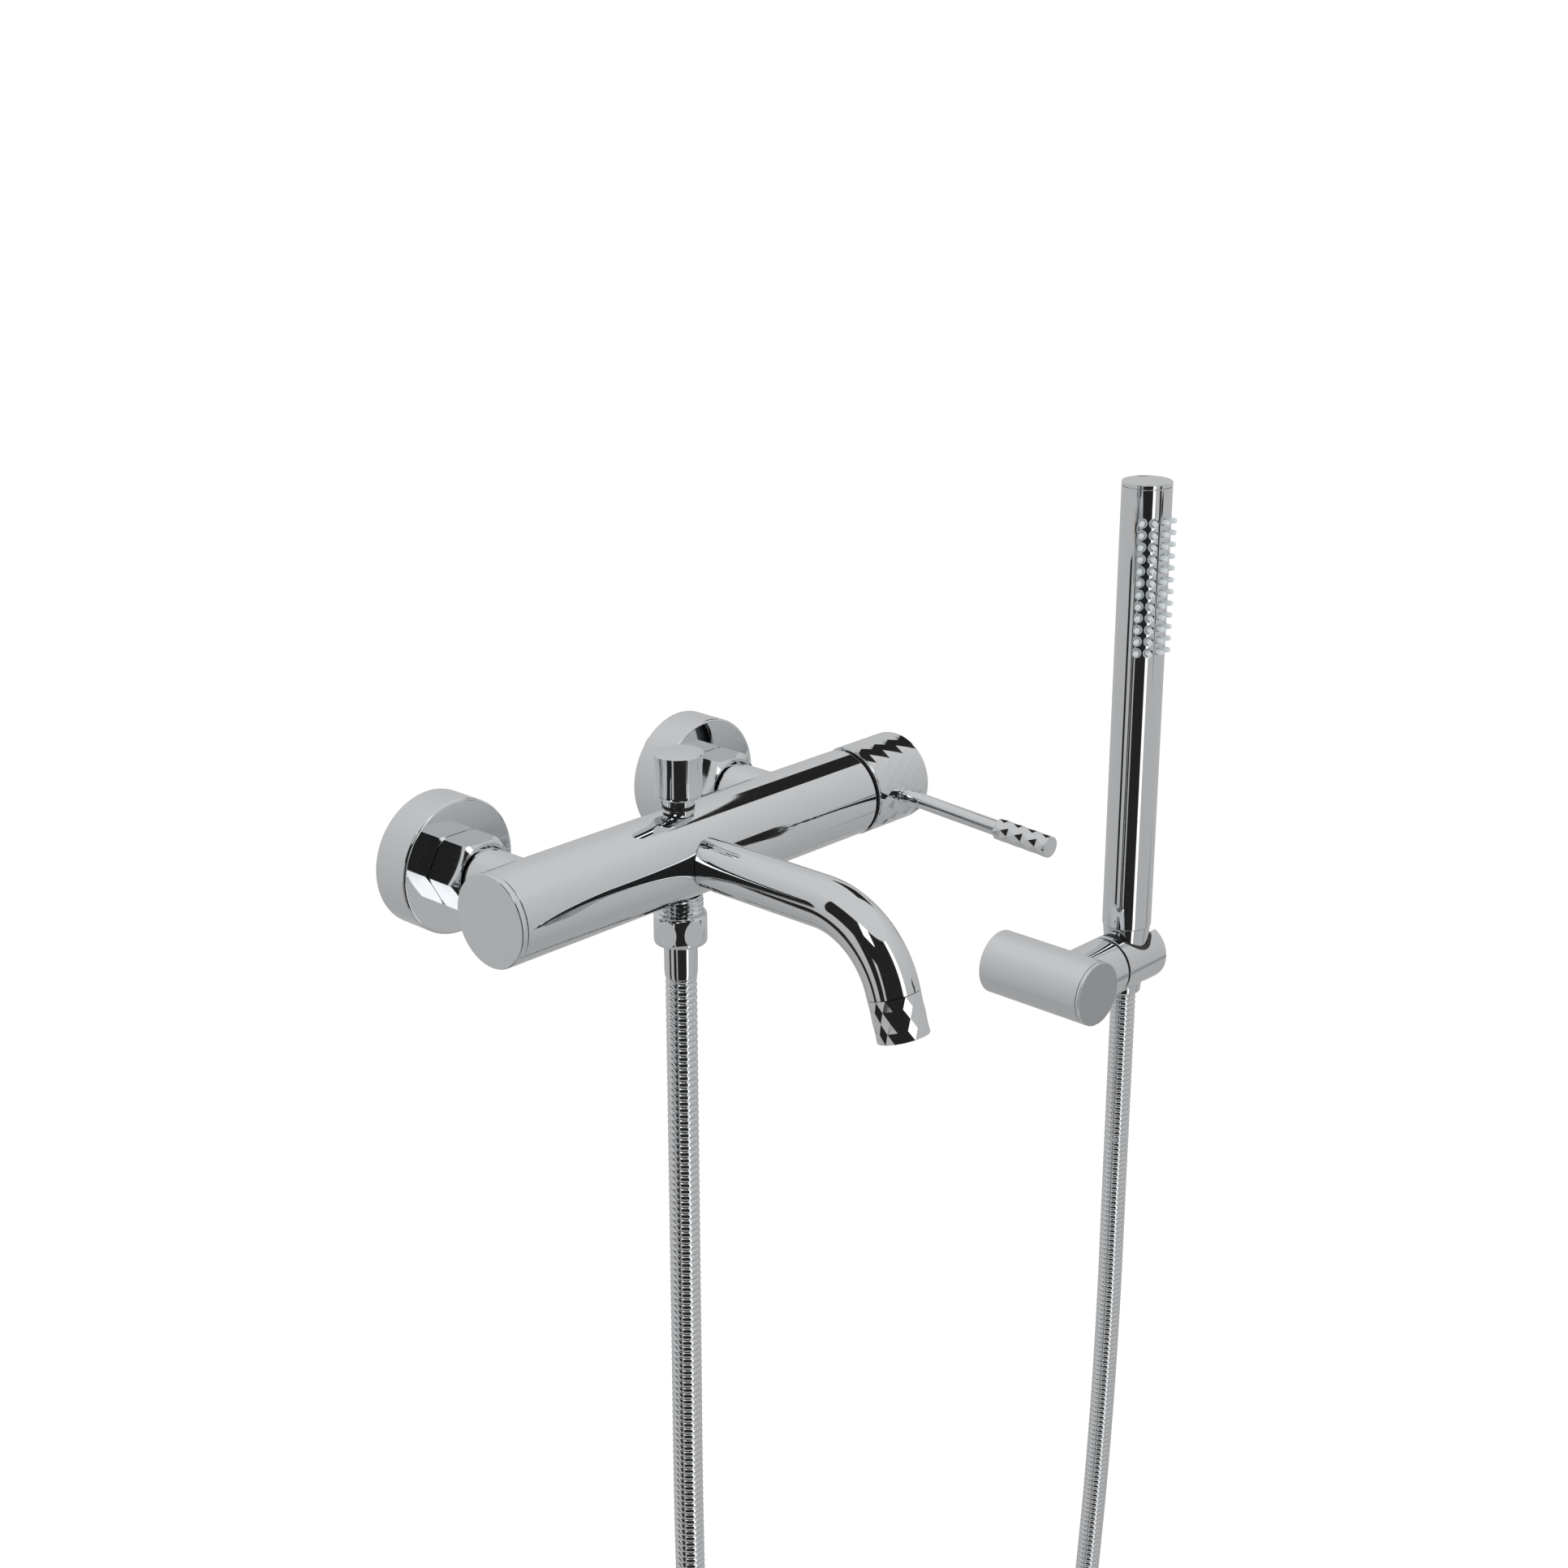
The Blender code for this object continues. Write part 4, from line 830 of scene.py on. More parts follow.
# shower outlet, hose nut and ferrule
outlet = {"crest": 10.2, "root": 9.3, "pitch": 1.814, "bottom": -36.0, "nutTop": -26.7, "nutBottom": -40.9,
          "flats": 23.2,
          "nutRadius": 12.5, "ferrule": 7.35, "ferruleBottom": -56.6}
fit(makePiece("showerOutlet", [threadShell(outlet["crest"], outlet["root"], outlet["pitch"] * 1.1,
                                           outlet["bottom"], -18.5, axisAt, up, 96)],
              chrome), "root", "shower_outlet")
low, high, big = outlet["nutBottom"], outlet["nutTop"], outlet["nutRadius"]
middle = (low + high) / 2
barrelNut = [(0, low), (big - 2.6, low, 0.3)]
barrelNut += [(sqrt(big ** 2 - (h * 0.78) ** 2), middle + h, "soft") for h in (-6.6, -5.5, -4.2, -2.8, -1.4,
                                                                               0, 1.4, 2.8, 4.2, 5.5, 6.6)]
barrelNut += [(big - 2.6, high, 0.3), (0, high)]
fit(makeNut("hoseNut", outlet["flats"], barrelNut, low, high, 6.6, axisAt, up, right + inward), "root",
    "hose_nut")
ferrule = [(4, -37.9), (9.4, -37.9), (9.4, -39.1), (6.2, -39.1), (6.2, low - 0.5),
           (outlet["ferrule"], low - 0.5, 0.3),
           (outlet["ferrule"], outlet["ferruleBottom"] + 2.4, "soft"),
           (outlet["ferrule"] - 0.25, outlet["ferruleBottom"], 0.2),
           (4, outlet["ferruleBottom"])]
fit(makePiece("hoseFerrule", [turnedShell(ferrule, axisAt, up, 96)], chrome), "root", "hose_ferrule")
print("shower outlet ready")


# spout with its faceted end and the aerator in it
spout = {"radius": 11.1, "bore": 8.0, "straight": 157.5, "bend": 40.0, "turn": 72.0, "endStraight": 1.9,
         "tipSides": 16,
         "tipBands": 4, "tipBand": 4.5, "aerator": 8.9}
spoutPath = [Vector((0, -80 - (spout["straight"] - 80) * i / 12, 0)) for i in range(13)]
for i in range(1, 37):
    a = radians(spout["turn"]) * i / 36
    spoutPath.append(Vector((0, -spout["straight"] - spout["bend"] * sin(a), -spout["bend"] * (1 - cos(a)))))
endWay = Vector((0, -cos(radians(spout["turn"])), -sin(radians(spout["turn"]))))
spoutPath.append(spoutPath[-1] + endWay * spout["endStraight"])
spoutEnd = spoutPath[-1]
spoutPipe = makePiece("spout", [sweptShell(spoutPath, spout["radius"], 112)], chrome)
saddle = [(0, -30), (mixer["radius"] + 0.25, -30), (mixer["radius"] + 0.25, 30), (0, 30)]


def pipeNormals(mesh):
    # exact normals on the pipe, which is straight and then follows a circle
    centre = Vector((0, -spout["straight"], -spout["bend"]))
    normals = []
    for face in mesh.polygons:
        for index in face.vertices:
            spot = mesh.vertices[index].co * 1000
            if spot.y > -spout["straight"]:
                axis = Vector((0, spot.y, 0))
            else:
                flat = Vector((0, spot.y - centre.y, spot.z - centre.z))
                axis = centre + flat.normalized() * spout["bend"]
                past = (spot - spoutPath[-2]).dot(endWay)
                if past > 0:
                    axis = spoutPath[-2] + endWay * past
            normal = (spot - axis).normalized()
            normals.append(normal if normal.dot(face.normal) > 0.8 else face.normal.copy())
    mesh.shade_smooth()
    mesh.normals_split_custom_set([tuple(n) for n in normals])


carve(spoutPipe, [("DIFFERENCE", [turnedShell(saddle, axisAt, right, 144)])], [])
pipeNormals(spoutPipe.data)
fit(spoutPipe, "root", "spout")

tipSide = endWay.cross(right)
spoutTip = makePiece("spoutTip", [lanternShell(spout["radius"], spout["tipSides"], spout["tipBands"],
                                               spout["tipBand"], 0.3,
                                               spoutEnd, endWay, tipSide)], chrome)
tipLength = spout["tipBands"] * spout["tipBand"] + 0.3
tipBore = [(0, -1), (6.2, -1), (6.2, 2.5), (9.2, 2.5), (9.2, tipLength - 0.5), (9.6, tipLength + 1),
           (0, tipLength + 1)]
carve(spoutTip, [("DIFFERENCE", [turnedShell(tipBore, spoutEnd, endWay, 96)])],
      bandsOf(tipBore, spoutEnd, endWay))
fit(spoutTip, "root", "spout_tip")

cage = [(0, 4.5), (spout["aerator"], 4.5), (spout["aerator"], tipLength - 0.9, 0.3),
        (7.4, tipLength - 0.9, 0.2),
        (7.4, tipLength - 2.2), (0, tipLength - 2.2)]
aerator = makePiece("aerator", [turnedShell(cage, spoutEnd, endWay, 96)], whiteAcetal)
cells, cellPitch = [], 2.0
turn = turnTo(endWay, tipSide)
for i in range(-4, 5):
    for j in range(-4, 5):
        x, y = cellPitch * (i + j / 2), cellPitch * j * sqrt(3) / 2
        if hypot(x, y) < 6.4:
            at = spoutEnd + turn @ Vector((x, y, 0))
            cells.append(turnedShell([(0, tipLength - 5), (0.98, tipLength - 5), (0.98, tipLength),
                                      (0, tipLength)], at, endWay, 6,
                                     turn @ Vector((0, 1, 0))))
carve(aerator, [("DIFFERENCE", cells)], bandsOf(cage, spoutEnd, endWay))
fit(aerator, "root", "aerator")
print("spout ready")


# wall holder: post with its arm, front disc and bracket
holder = {"x": 323.0, "z": -173.0, "post": 18.0, "postBore": 15.5, "length": 68.0, "arm": 16.5,
          "armReach": 48.3,
          "armEnd": 356.0, "farEnd": 392.0, "slot": 16.0}
postAt = Vector((holder["x"], 0, holder["z"]))
armAt = Vector((0, -holder["armReach"], holder["z"]))
postEnd = -holder["length"] + 2.3
post = [(0, postEnd), (holder["post"], postEnd, 0.15), (holder["post"], 0, 0.3), (0, 0)]
arm = [(0, holder["x"] + 3), (holder["arm"], holder["x"] + 3), (holder["arm"], holder["armEnd"], 0.5),
       (0, holder["armEnd"])]
bore = [(0, postEnd - 1), (holder["postBore"], postEnd - 1), (holder["postBore"], 1), (0, 1)]
grub = [(0, -20), (2.3, -20), (2.3, -14), (0, -14)]
holderPost = makePiece("holderPost", [turnedShell(post, postAt, inward, 144)], chrome)
carve(holderPost, [("UNION", [turnedShell(arm, armAt, right, 144)]),
                   ("DIFFERENCE", [turnedShell(bore, postAt, inward, 96)]),
                   ("DIFFERENCE", [turnedShell(grub, postAt - inward * 3, up, 32)])],
      bandsOf(post, postAt, inward) + bandsOf(arm, armAt, right) + bandsOf(bore, postAt, inward))
fit(holderPost, "root", "holder_post")
face = -holder["length"]
disc = [(0, face), (holder["post"], face, 0.55), (holder["post"], face + 2, 0.15), (15.2, face + 2),
        (15.2, face + 7), (0, face + 7)]
holderCap = makePiece("holderCap", [turnedShell(disc, postAt, inward, 144)], chrome)
carve(holderCap, [("DIFFERENCE", [boxShell((2.6, 1.4, 1.6), postAt + Vector((0, face, -holder["post"])))])],
      bandsOf(disc, postAt, inward))
fit(holderCap, "root", "holder_cap")
plate = [(0, -5), (15.2, -5, 0.4), (15.2, 0, 0.3), (0, 0)]
holes = []
for height in (-8, 8):
    hole = [(0, -6), (4.2, -6), (2.4, -3.4), (2.4, 1), (0, 1)]
    holes.append(("DIFFERENCE", [turnedShell(hole, postAt + up * height, inward, 48)]))
bracket = makePiece("holderBracket", [turnedShell(plate, postAt, inward, 96)], steel)
fit(carve(bracket, holes, bandsOf(plate, postAt, inward)), "root", "holder_bracket")
washer = [(4.3, holder["armEnd"] + 0.3), (15.8, holder["armEnd"] + 0.3, 0.2),
          (15.8, holder["armEnd"] + 1.3, 0.2),
          (4.3, holder["armEnd"] + 1.3)]
fit(makePiece("frictionWasher", [turnedShell(washer, armAt, right, 120)], blackAcetal), "root",
    "friction_washer")
print("holder ready")


# cradle with its slot, and the liner in its cone
handset = {"x": 375.0, "y": -48.3, "seam": -152.0, "coneTop": 13.1, "coneBottom": 9.2, "coneLength": 40.0,
           "radius": 13.5,
           "bore": 12.0, "top": 98.0, "turn": -22.0, "rows": 12, "columns": 4, "pitch": 6.4, "angle": 27.0,
           "firstRow": 20.0,
           "peg": 1.6, "hole": 1.9, "dish": 2.75, "dishDepth": 0.42, "pegTip": 16.9}
coneAt = Vector((handset["x"], handset["y"], 0))


def coneRadius(z):
    return handset["coneTop"] + (z - handset["seam"]) * (handset["coneTop"] - handset["coneBottom"]) / handset["coneLength"]


barrel = [(0, 357.6), (holder["arm"], 357.6, 0.4), (holder["arm"], holder["farEnd"], 0.8),
          (0, holder["farEnd"])]
low, high = holder["z"] - 22, holder["z"] + 22
socket = [(0, low), (coneRadius(low) + 2.1, low), (coneRadius(high) + 2.1, high), (0, high)]
cradle = makePiece("cradle", [turnedShell(barrel, armAt, right, 144)], chrome)
slotBox = boxShell((40, holder["slot"], 60), coneAt + Vector((20, 0, holder["z"])))
carve(cradle, [("DIFFERENCE", [turnedShell(socket, coneAt, up, 120)]), ("DIFFERENCE", [slotBox])],
      bandsOf(barrel, armAt, right) + bandsOf(socket, coneAt, up))
fit(cradle, "cradle", "cradle")
sleeve = [(coneRadius(low) + 0.3, low), (coneRadius(low) + 1.8, low), (coneRadius(high) + 1.8, high),
          (coneRadius(high) + 0.3, high)]
trim = [(0, 340), (holder["arm"] - 0.2, 340), (holder["arm"] - 0.2, 410), (0, 410)]
liner = makePiece("cradleLiner", [turnedShell(sleeve, coneAt, up, 120)], blackAcetal)
carve(liner, [("INTERSECT", [turnedShell(trim, armAt, right, 144)]), ("DIFFERENCE", [slotBox])],
      bandsOf(sleeve, coneAt, up) + bandsOf(trim, armAt, right))
fit(liner, "cradle", "cradle_liner")
print("cradle ready")


# conical nut, and the handset with dished holes for its nozzles
low = handset["seam"] - handset["coneLength"]
cone = [(5, low), (handset["coneBottom"], low, 0.5), (handset["coneTop"], handset["seam"], 0.2),
        (11.7, handset["seam"]),
        (11.7, handset["seam"] + 9), (5, handset["seam"] + 9)]
fit(makePiece("coneNut", [turnedShell(cone, coneAt, up, 120)], chrome), "hose_end", "cone_nut")

lidLine = handset["top"] - 2.1
lid = [(0, lidLine - 6), (11.7, lidLine - 6), (11.7, lidLine), (handset["radius"], lidLine, 0.12),
       (handset["radius"], handset["top"], 0.4),
       (12.2, handset["top"], 0.5), (9, handset["top"] - 0.6, "soft"), (5, handset["top"] - 0.9, "soft"),
       (0, handset["top"] - 1.0)]
fit(makePiece("handsetLid", [turnedShell(lid, coneAt, up, 120)], chrome), "handset", "handset_lid")


def tubeShell():
    # the tube's outer wall as a grid over angle and height, with a round dished hole in each nozzle's cell
    radius, bore = handset["radius"], handset["bore"]
    fine, coarse = 8, 72
    rows, columns, pitch, step = handset["rows"], handset["columns"], handset["pitch"], handset["angle"]
    middle = handset["turn"] - 90
    cellTop = handset["top"] - handset["firstRow"] + pitch / 2
    cellBottom = cellTop - rows * pitch
    start = middle - step * columns / 2
    angles = [start + step * i / fine for i in range(columns * fine + 1)]
    angles += [angles[-1] + (360 - step * columns) * i / coarse for i in range(1, coarse)]
    bottom, top = handset["seam"] + 0.3, lidLine - 0.3
    heights = [cellBottom - (cellBottom - bottom - 0.3) * (10 - i) / 10 for i in range(10)]
    heights += [cellBottom + pitch * i / fine for i in range(rows * fine + 1)]
    heights += [cellTop + (top - 0.3 - cellTop) * i / 4 for i in range(1, 5)]
    firstCell = 10
    points, faces, normals = [], [], []

    def spot(angle, height, out, normal):
        # normal is (radial, round the tube, up the tube)
        a = radians(angle)
        radial, around = Vector((cos(a), sin(a), 0)), Vector((-sin(a), cos(a), 0))
        points.append(coneAt + radial * out + up * height)
        return len(points) - 1, radial * normal[0] + around * normal[1] + up * normal[2]

    grid = [[spot(angle, height, radius, (1, 0, 0)) for angle in angles] for height in heights]
    count = len(angles)

    def addFace(corners):
        faces.append([index for index, _ in corners])
        normals.extend(normal for _, normal in corners)

    for i in range(len(heights) - 1):
        for j in range(count):
            inField = j < columns * fine and firstCell <= i < firstCell + rows * fine
            if not inField:
                k = (j + 1) % count
                addFace((grid[i][j], grid[i][k], grid[i + 1][k], grid[i + 1][j]))
    # ends: a small rounding, a flat, and the wall's inside
    for level, height, way in ((0, bottom, -1), (len(heights) - 1, top, 1)):
        rings = [[point for point in grid[level]]]
        for k in range(1, 4):
            a = pi / 2 * k / 3
            rings.append([spot(angle, height - way * 0.3 * (1 - sin(a)), radius - 0.3 * (1 - cos(a)),
                               (cos(a), 0, way * sin(a)))
                          for angle in angles])
        rings.append([spot(angle, height, bore, (0, 0, way)) for angle in angles])
        for inner, outer in zip(rings, rings[1:]):
            for j in range(count):
                k = (j + 1) % count
                corners = (inner[j], inner[k], outer[k], outer[j])
                addFace(corners if way > 0 else corners[::-1])
        grid.append(rings[-1])
    wallLow, wallHigh = ([(index, -coneOut(points[index])) for index, _ in ring] for ring in grid[-2:])
    for j in range(count):
        k = (j + 1) % count
        addFace((wallLow[k], wallLow[j], wallHigh[j], wallHigh[k]))
    profile = roundCorners([(handset["dish"] + 0.3, 0), (handset["dish"], 0, 0.35),
                            (handset["hole"], -handset["dishDepth"], 0.12),
                            (handset["hole"], -1.45)], 3, closed=False)[1:]
    for row in range(rows):
        for column in range(columns):
            i0, j0 = firstCell + row * fine, column * fine
            edge = [(i0, j0 + n) for n in range(fine)] + [(i0 + n, j0 + fine) for n in range(fine)]
            edge += [(i0 + fine, j0 + fine - n) for n in range(fine)] + [(i0 + fine - n,
                                                                          j0) for n in range(fine)]
            ring = [grid[i][j] for i, j in edge]
            centreAngle, centreHeight = angles[j0] + step / 2, heights[i0] + pitch / 2
            turns = [atan2(heights[i] - centreHeight, radians(angles[j] - centreAngle) * radius) for i,
                     j in edge]
            last = ring
            for place, _, normal in profile:
                ring = [spot(centreAngle + place.x * cos(t) / radius * 180 / pi,
                             centreHeight + place.x * sin(t), radius + place.y,
                             (normal.y, normal.x * cos(t), normal.x * sin(t))) for t in turns]
                for n in range(len(ring)):
                    m = (n + 1) % len(ring)
                    addFace((last[n], last[m], ring[m], ring[n]))
                last = ring
            floor = [(index, coneOut(points[index])) for index, _ in last]
            addFace(floor)
    return points, faces, normals


def coneOut(point):
    flat = Vector((point.x - coneAt.x, point.y - coneAt.y, 0))
    return flat.normalized()


fit(makePiece("handsetTube", [tubeShell()], chrome), "handset", "handset_tube")


# pegs: one soft jet with its pad, set out in rows and columns round the tube

def nozzleTree():
    tree = bpy.data.node_groups.new("nozzleField", "GeometryNodeTree")
    sockets = {}
    tree.interface.new_socket("Mat", in_out="INPUT", socket_type="NodeSocketGeometry")
    for name, kind in (("Jet", "Object"), ("Rows", "Int"), ("Columns", "Int"), ("Pitch", "Float"),
                       ("Angle step", "Float"),
                       ("Middle angle", "Float"), ("Top row", "Float"), ("Centre", "Vector"),
                       ("Finish", "Material")):
        sockets[name] = tree.interface.new_socket(name, in_out="INPUT",
                                                  socket_type="NodeSocket" + kind).identifier
    tree.interface.new_socket("Field", in_out="OUTPUT", socket_type="NodeSocketGeometry")
    given = addNode(tree, "NodeGroupInput")

    def calc(operation, first, second=None):
        node = addNode(tree, "ShaderNodeMath", {"operation": operation})
        for index, value in enumerate((first, second)):
            if isinstance(value, (int, float)):
                node.inputs[index].default_value = value
            elif value is not None:
                tree.links.new(value, node.inputs[index])
        return node.outputs[0]

    rows, columns = given.outputs["Rows"], given.outputs["Columns"]
    index = addNode(tree, "GeometryNodeInputIndex").outputs[0]
    row, column = calc("FLOOR", calc("DIVIDE", index, columns)), calc("MODULO", index, columns)
    offset = calc("SUBTRACT", column, calc("DIVIDE", calc("SUBTRACT", columns, 1), 2))
    angle = calc("ADD", given.outputs["Middle angle"], calc("MULTIPLY", offset, given.outputs["Angle step"]))
    height = calc("SUBTRACT", given.outputs["Top row"], calc("MULTIPLY", row, given.outputs["Pitch"]))
    lift = addNode(tree, "ShaderNodeCombineXYZ", links={"Z": height})
    place = addNode(tree, "ShaderNodeVectorMath", {"operation": "ADD"})
    tree.links.new(given.outputs["Centre"], place.inputs[0])
    tree.links.new(lift.outputs[0], place.inputs[1])
    way = addNode(tree, "ShaderNodeCombineXYZ", links={"X": calc("COSINE", angle), "Y": calc("SINE", angle)})
    spots = addNode(tree, "GeometryNodePoints", links={"Count": calc("MULTIPLY", rows, columns),
                                                       "Position": place.outputs[0]})
    turn = addNode(tree, "FunctionNodeAlignRotationToVector", {"axis": "Z"}, {"Vector": way.outputs[0]})
    jet = addNode(tree, "GeometryNodeObjectInfo", {"transform_space": "ORIGINAL"},
                  {"Object": given.outputs["Jet"]})
    field = addNode(tree, "GeometryNodeInstanceOnPoints",
                    links={"Points": spots.outputs[0], "Instance": jet.outputs["Geometry"],
                           "Rotation": turn.outputs[0]})
    both = addNode(tree, "GeometryNodeJoinGeometry")
    tree.links.new(given.outputs["Mat"], both.inputs[0])
    tree.links.new(field.outputs[0], both.inputs[0])
    plain = addNode(tree, "GeometryNodeRealizeInstances", links={"Geometry": both.outputs[0]})
    coated = addNode(tree, "GeometryNodeSetMaterial", links={"Geometry": plain.outputs[0],
                                                             "Material": given.outputs["Finish"]})
    addNode(tree, "NodeGroupOutput", links={"Field": coated.outputs[0]})
    return tree, sockets


peg = handset["peg"]
jetShell = turnedShell([(0, 11.4), (peg, 11.4), (peg, 11.95), (1.88, 11.95), (1.88, 12.2, 0.1),
                        (peg, 12.35, 0.15), (peg - 0.12, 14.5, "soft"),
                        (peg - 0.25, 16.0, "soft"), (peg - 0.45, 16.6, "soft"), (0.75, 16.85, "soft"),
                        (0.42, handset["pegTip"], "soft"),
                        (0.36, 16.5, "soft"), (0, 16.4)], (0, 0, 0), up, 20)
jet = makePiece("jet", [jetShell], silicone)
high = handset["top"] - handset["firstRow"] + 4
low = high - 8 - handset["pitch"] * (handset["rows"] - 1)
half = handset["angle"] * handset["columns"] / 2 - 3
matPoints, matFaces, matSteps = [], [], 24
for i in range(matSteps + 1):
    a = radians(handset["turn"] - 90 + half * (2 * i / matSteps - 1))
    for out, height in ((11.7, low), (11.7, high), (10.3, high), (10.3, low)):
        matPoints.append(coneAt + Vector((out * cos(a), out * sin(a), height)))
for i in range(matSteps):
    for j in range(4):
        k = (j + 1) % 4
        matFaces.append([4 * i + j, 4 * i + 4 + j, 4 * i + 4 + k, 4 * i + k])
matFaces += [[0, 1, 2, 3], [4 * matSteps + j for j in (3, 2, 1, 0)]]
nozzles = makePiece("nozzleStrip", [(matPoints, matFaces, None)], silicone)
tree, sockets = nozzleTree()
setOut = nozzles.modifiers.new("setOut", "NODES")
setOut.node_group = tree
for key, value in (("Jet", jet), ("Rows", handset["rows"]), ("Columns", handset["columns"]),
                   ("Pitch", handset["pitch"] * mm),
                   ("Angle step", radians(handset["angle"])), ("Middle angle", radians(handset["turn"] - 90)),
                   ("Top row", (handset["top"] - handset["firstRow"]) * mm), ("Finish", silicone)):
    setOut[sockets[key]] = value
setOut[sockets["Centre"]] = tuple(coneAt * mm)
applied(nozzles)
bpy.data.objects.remove(jet)
fit(nozzles, "handset", "nozzle_strip")
print("handset ready")


# pieces that stay as the frame has them, inside the body
kept = {
    "inlet_washer_left": rubber, "inlet_washer_right": rubber, "cartridge_seal": rubber,
    "hose_washer": rubber,
    "aerator_seal": rubber, "diverter_seal": rubber, "cartridge_base": whiteAcetal,
    "cartridge_housing": whiteAcetal,
    "disc_carrier": whiteAcetal, "check_valve": whiteAcetal, "cartridge_rotor": blackAcetal,
    "fixed_disc": ceramic,
    "moving_disc": ceramic, "retaining_nut": brass, "spindle": brass, "diverter_stem": brass,
    "tilt_pin": steel,
    "handle_grub_screw": steel, "holder_grub_screw": steel, "cradle_pin": steel,
}
for node, finish in kept.items():
    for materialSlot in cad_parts[node].material_slots:
        materialSlot.material = finish


# studio: pale floor and a grey tent that only reflections see, with black and white cloths hung in it
studio = {
    "floor": -1.50, "floorColour": "#F6F6F5", "surroundStrength": 1.12,
    "tentCentre": (0.1, -0.07), "tentRadius": 1.4, "tentLow": -1.49, "tentHigh": 1.6,
    "tentBrightness": (0.42, 0.70),  # at its foot and at its top
    "lights": [  # place, look at, width, height, watts
        ((-1.6, -1.4, 1.6), (0.1, -0.1, 0.0), 1.2, 1.2, 12),
    ],
    "arcs": [  # name, from and to azimuth in degrees, from and to height, distance in metres, brightness
        ("blackLow", 144, 157, -1.0, -0.22, 0.90, 0.02),
        ("blackMiddle", 176, 193, -1.0, 0.12, 0.90, 0.02),
        ("blackFront", 200, 257, -1.0, 0.12, 0.90, 0.02),
        ("blackHigh", 160, 257, 0.12, 0.90, 0.90, 0.02),
        ("whiteEdge", 259, 271, -1.4, 0.9, 0.90, 1.5),
        ("whiteWindow", 198, 214, 0.42, 0.80, 0.80, 2.0),
    ],
    "cards": [  # name, four corners in metres, brightness
        ("blackAbove", ((0.34, -0.10, 0.43), (0.42, 0.185, 0.35), (0.80, 0.185, 0.35), (0.80, -0.10, 0.43)),
         0.02),
        ("blackDagger", ((0.385, -0.58, 0.02), (0.50, -0.58, 0.05), (0.50, -0.55, -0.17),
                         (0.39, -0.58, 0.012)), 0.02),
        ("blackLine", ((0.52, -0.58, -0.03), (0.62, -0.58, -0.03), (0.62, -0.58, -0.05),
                       (0.52, -0.58, -0.045)), 0.03),
        ("greySide", ((1.00, -0.66, -0.80), (1.30, -0.66, -0.80), (1.30, -0.64, -0.47), (1.00, -0.64, -0.47)),
         0.33),
    ],
}


def glowing(name, brightness):
    # a pair of brightnesses runs evenly from the foot of the tent to its top, which gives round chrome its soft shading
    finish = bpy.data.materials.new(name)
    finish.use_nodes = True
    tree = finish.node_tree
    tree.nodes.clear()
    glow = addNode(tree, "ShaderNodeEmission", {} if isinstance(brightness,
                                                                tuple) else {"Strength": brightness})
    if isinstance(brightness, tuple):
        place = addNode(tree, "ShaderNodeSeparateXYZ", links={"Vector": addNode(tree,
                                                                                "ShaderNodeTexCoord").outputs["Object"]})
        rise = addNode(tree, "ShaderNodeMapRange", {"From Min": studio["tentLow"],
                                                    "From Max": studio["tentHigh"],
                                                    "To Min": brightness[0], "To Max": brightness[1]},
                                                    {"Value": place.outputs["Z"]})
        tree.links.new(rise.outputs[0], glow.inputs["Strength"])
    addNode(tree, "ShaderNodeOutputMaterial", links={"Surface": glow.outputs[0]})
    return finish


def hang(name, points, faces, brightness):
    # seen by reflections only, so it neither shades the object nor shows behind it
    mesh = bpy.data.meshes.new(name)
    mesh.from_pydata([tuple(point) for point in points], [], faces)
    mesh.materials.append(glowing(name, brightness))
    cloth = bpy.data.objects.new(name, mesh)
    bpy.context.scene.collection.objects.link(cloth)
    cloth.visible_camera = cloth.visible_shadow = cloth.visible_diffuse = cloth.visible_transmission = False
    return cloth


def around(azimuth, height, distance):
    x, y = studio["tentCentre"]
    return Vector((x + cos(radians(azimuth)) * distance, y + sin(radians(azimuth)) * distance, height))


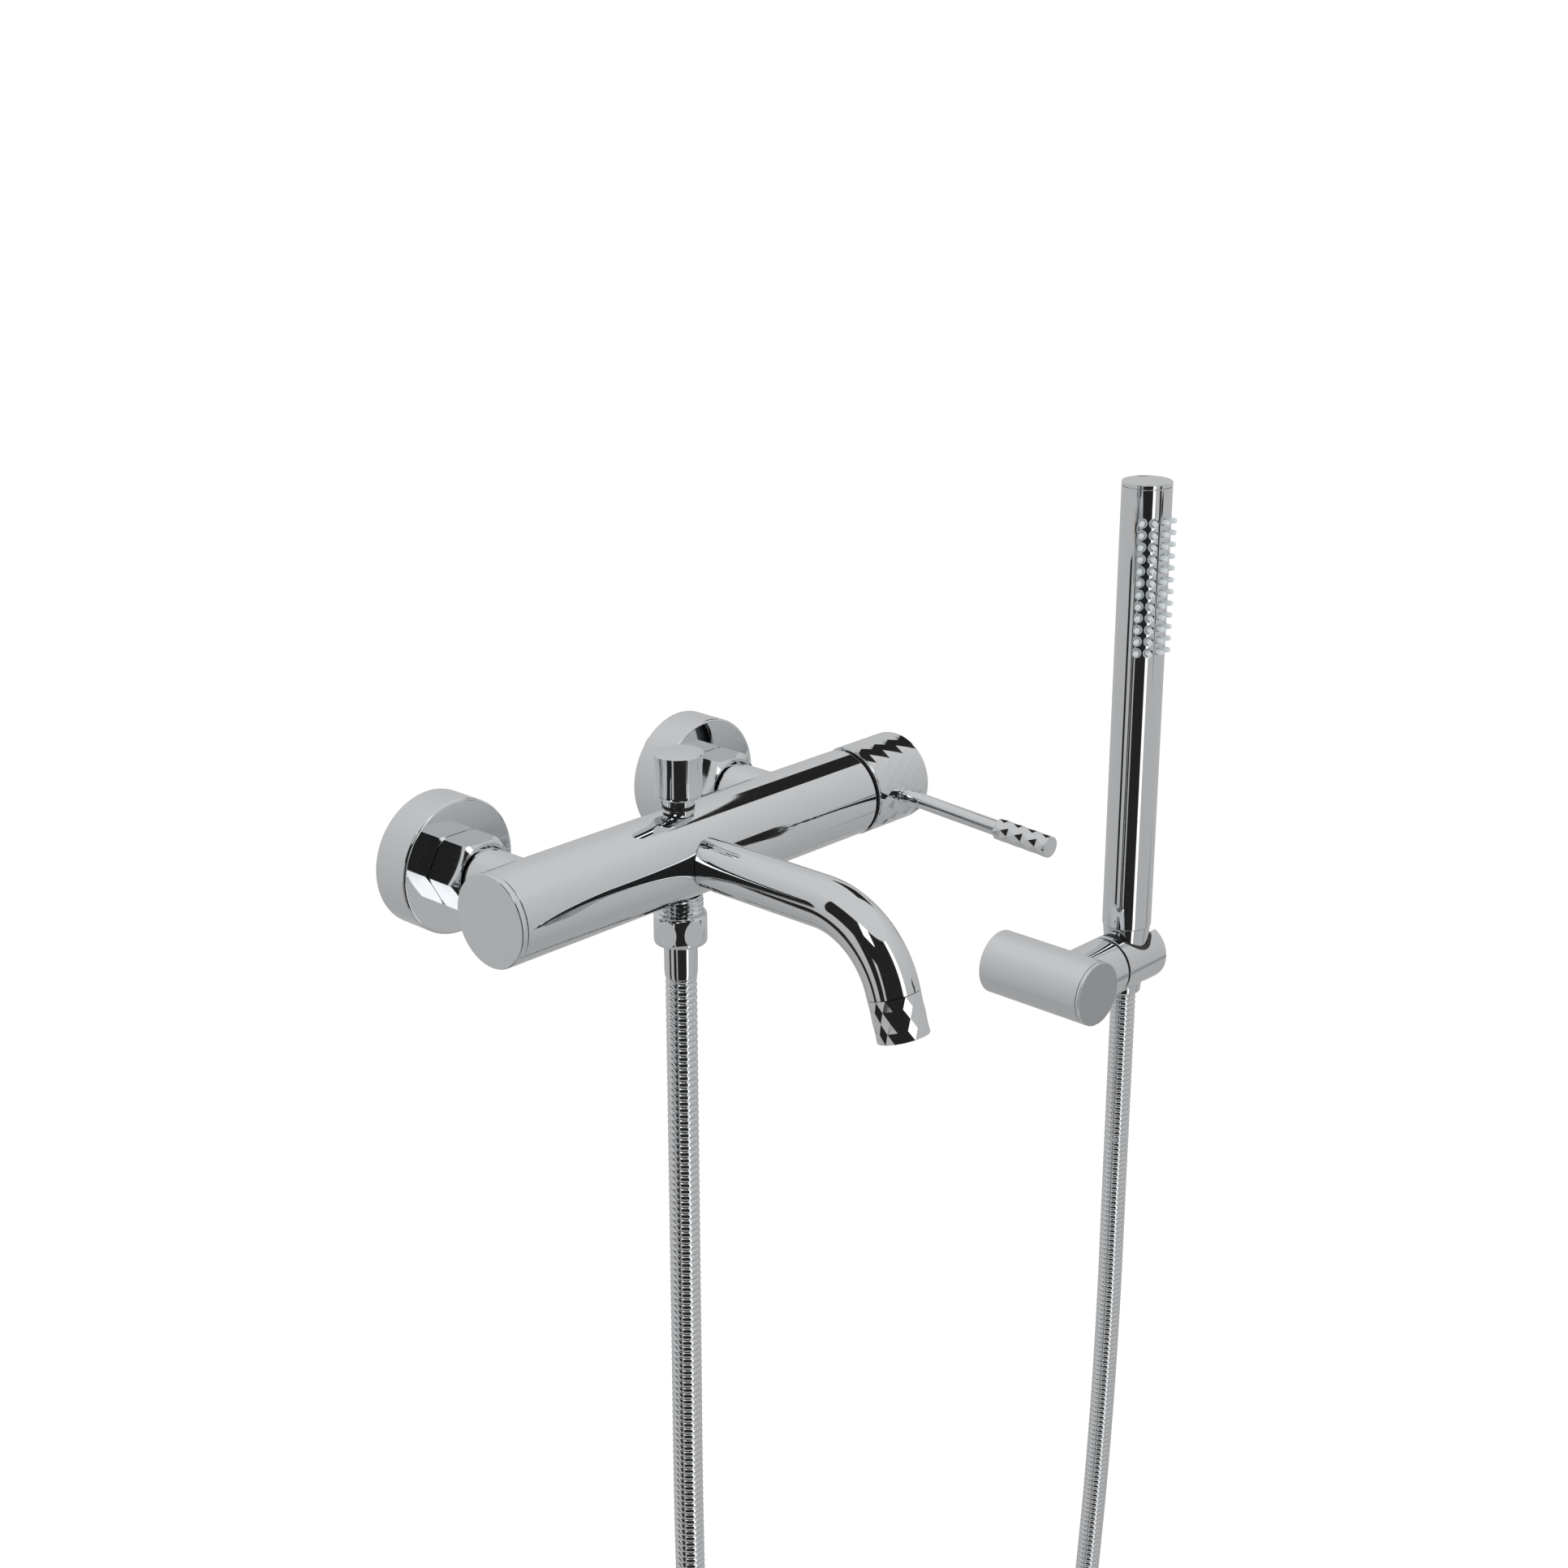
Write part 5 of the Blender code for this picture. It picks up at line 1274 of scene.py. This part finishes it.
tentSteps = 48
wall = [around(360 * i / tentSteps, height, studio["tentRadius"]) for height in (studio["tentLow"],
                                                                                 studio["tentHigh"])
        for i in range(tentSteps)]
hang("greyTent", wall, [(i, (i + 1) % tentSteps, tentSteps + (i + 1) % tentSteps,
                         tentSteps + i) for i in range(tentSteps)]
     + [tuple(range(tentSteps))[::-1], tuple(range(tentSteps, 2 * tentSteps))], studio["tentBrightness"])
for name, fromAzimuth, toAzimuth, low, high, distance, brightness in studio["arcs"]:
    places = [around(fromAzimuth + (toAzimuth - fromAzimuth) * i / 12, height,
                     distance) for i in range(13) for height in (low, high)]
    hang(name, places, [(2 * i, 2 * i + 2, 2 * i + 3, 2 * i + 1) for i in range(12)], brightness)
for name, corners, brightness in studio["cards"]:
    hang(name, corners, [(0, 1, 2, 3)], brightness)

world = bpy.data.worlds.new("studioSurround")
world.use_nodes = True
world.node_tree.nodes["Background"].inputs["Color"].default_value = (1, 1, 1, 1)
world.node_tree.nodes["Background"].inputs["Strength"].default_value = studio["surroundStrength"]
bpy.context.scene.world = world
paleFloor = bpy.data.materials.new("paleFloor")
paleFloor.use_nodes = True
paleFloor.node_tree.nodes["Principled BSDF"].inputs["Base Color"].default_value = linearColour(studio["floorColour"])
paleFloor.node_tree.nodes["Principled BSDF"].inputs["Roughness"].default_value = 1.0
floorMesh = bpy.data.meshes.new("floor")
floorMesh.from_pydata([(x, y, studio["floor"]) for x, y in ((-60, -60), (60, -60), (60, 60), (-60, 60))], [],
                      [(0, 1, 2, 3)])
floorMesh.materials.append(paleFloor)
floor = bpy.data.objects.new("floor", floorMesh)
bpy.context.scene.collection.objects.link(floor)
for index, (place, lookAt, width, height, watts) in enumerate(studio["lights"]):
    data = bpy.data.lights.new(f"softLight{index}", "AREA")
    data.shape, data.size, data.size_y, data.energy = "RECTANGLE", width, height, watts
    light = bpy.data.objects.new(f"softLight{index}", data)
    bpy.context.scene.collection.objects.link(light)
    light.location = place
    light.rotation_euler = (Vector(lookAt) - Vector(place)).to_track_quat("-Z", "Y").to_euler()
    light.visible_glossy = False
bpy.context.scene.view_settings.view_transform = "Standard"
print("studio ready")

bpy.context.view_layer.update()
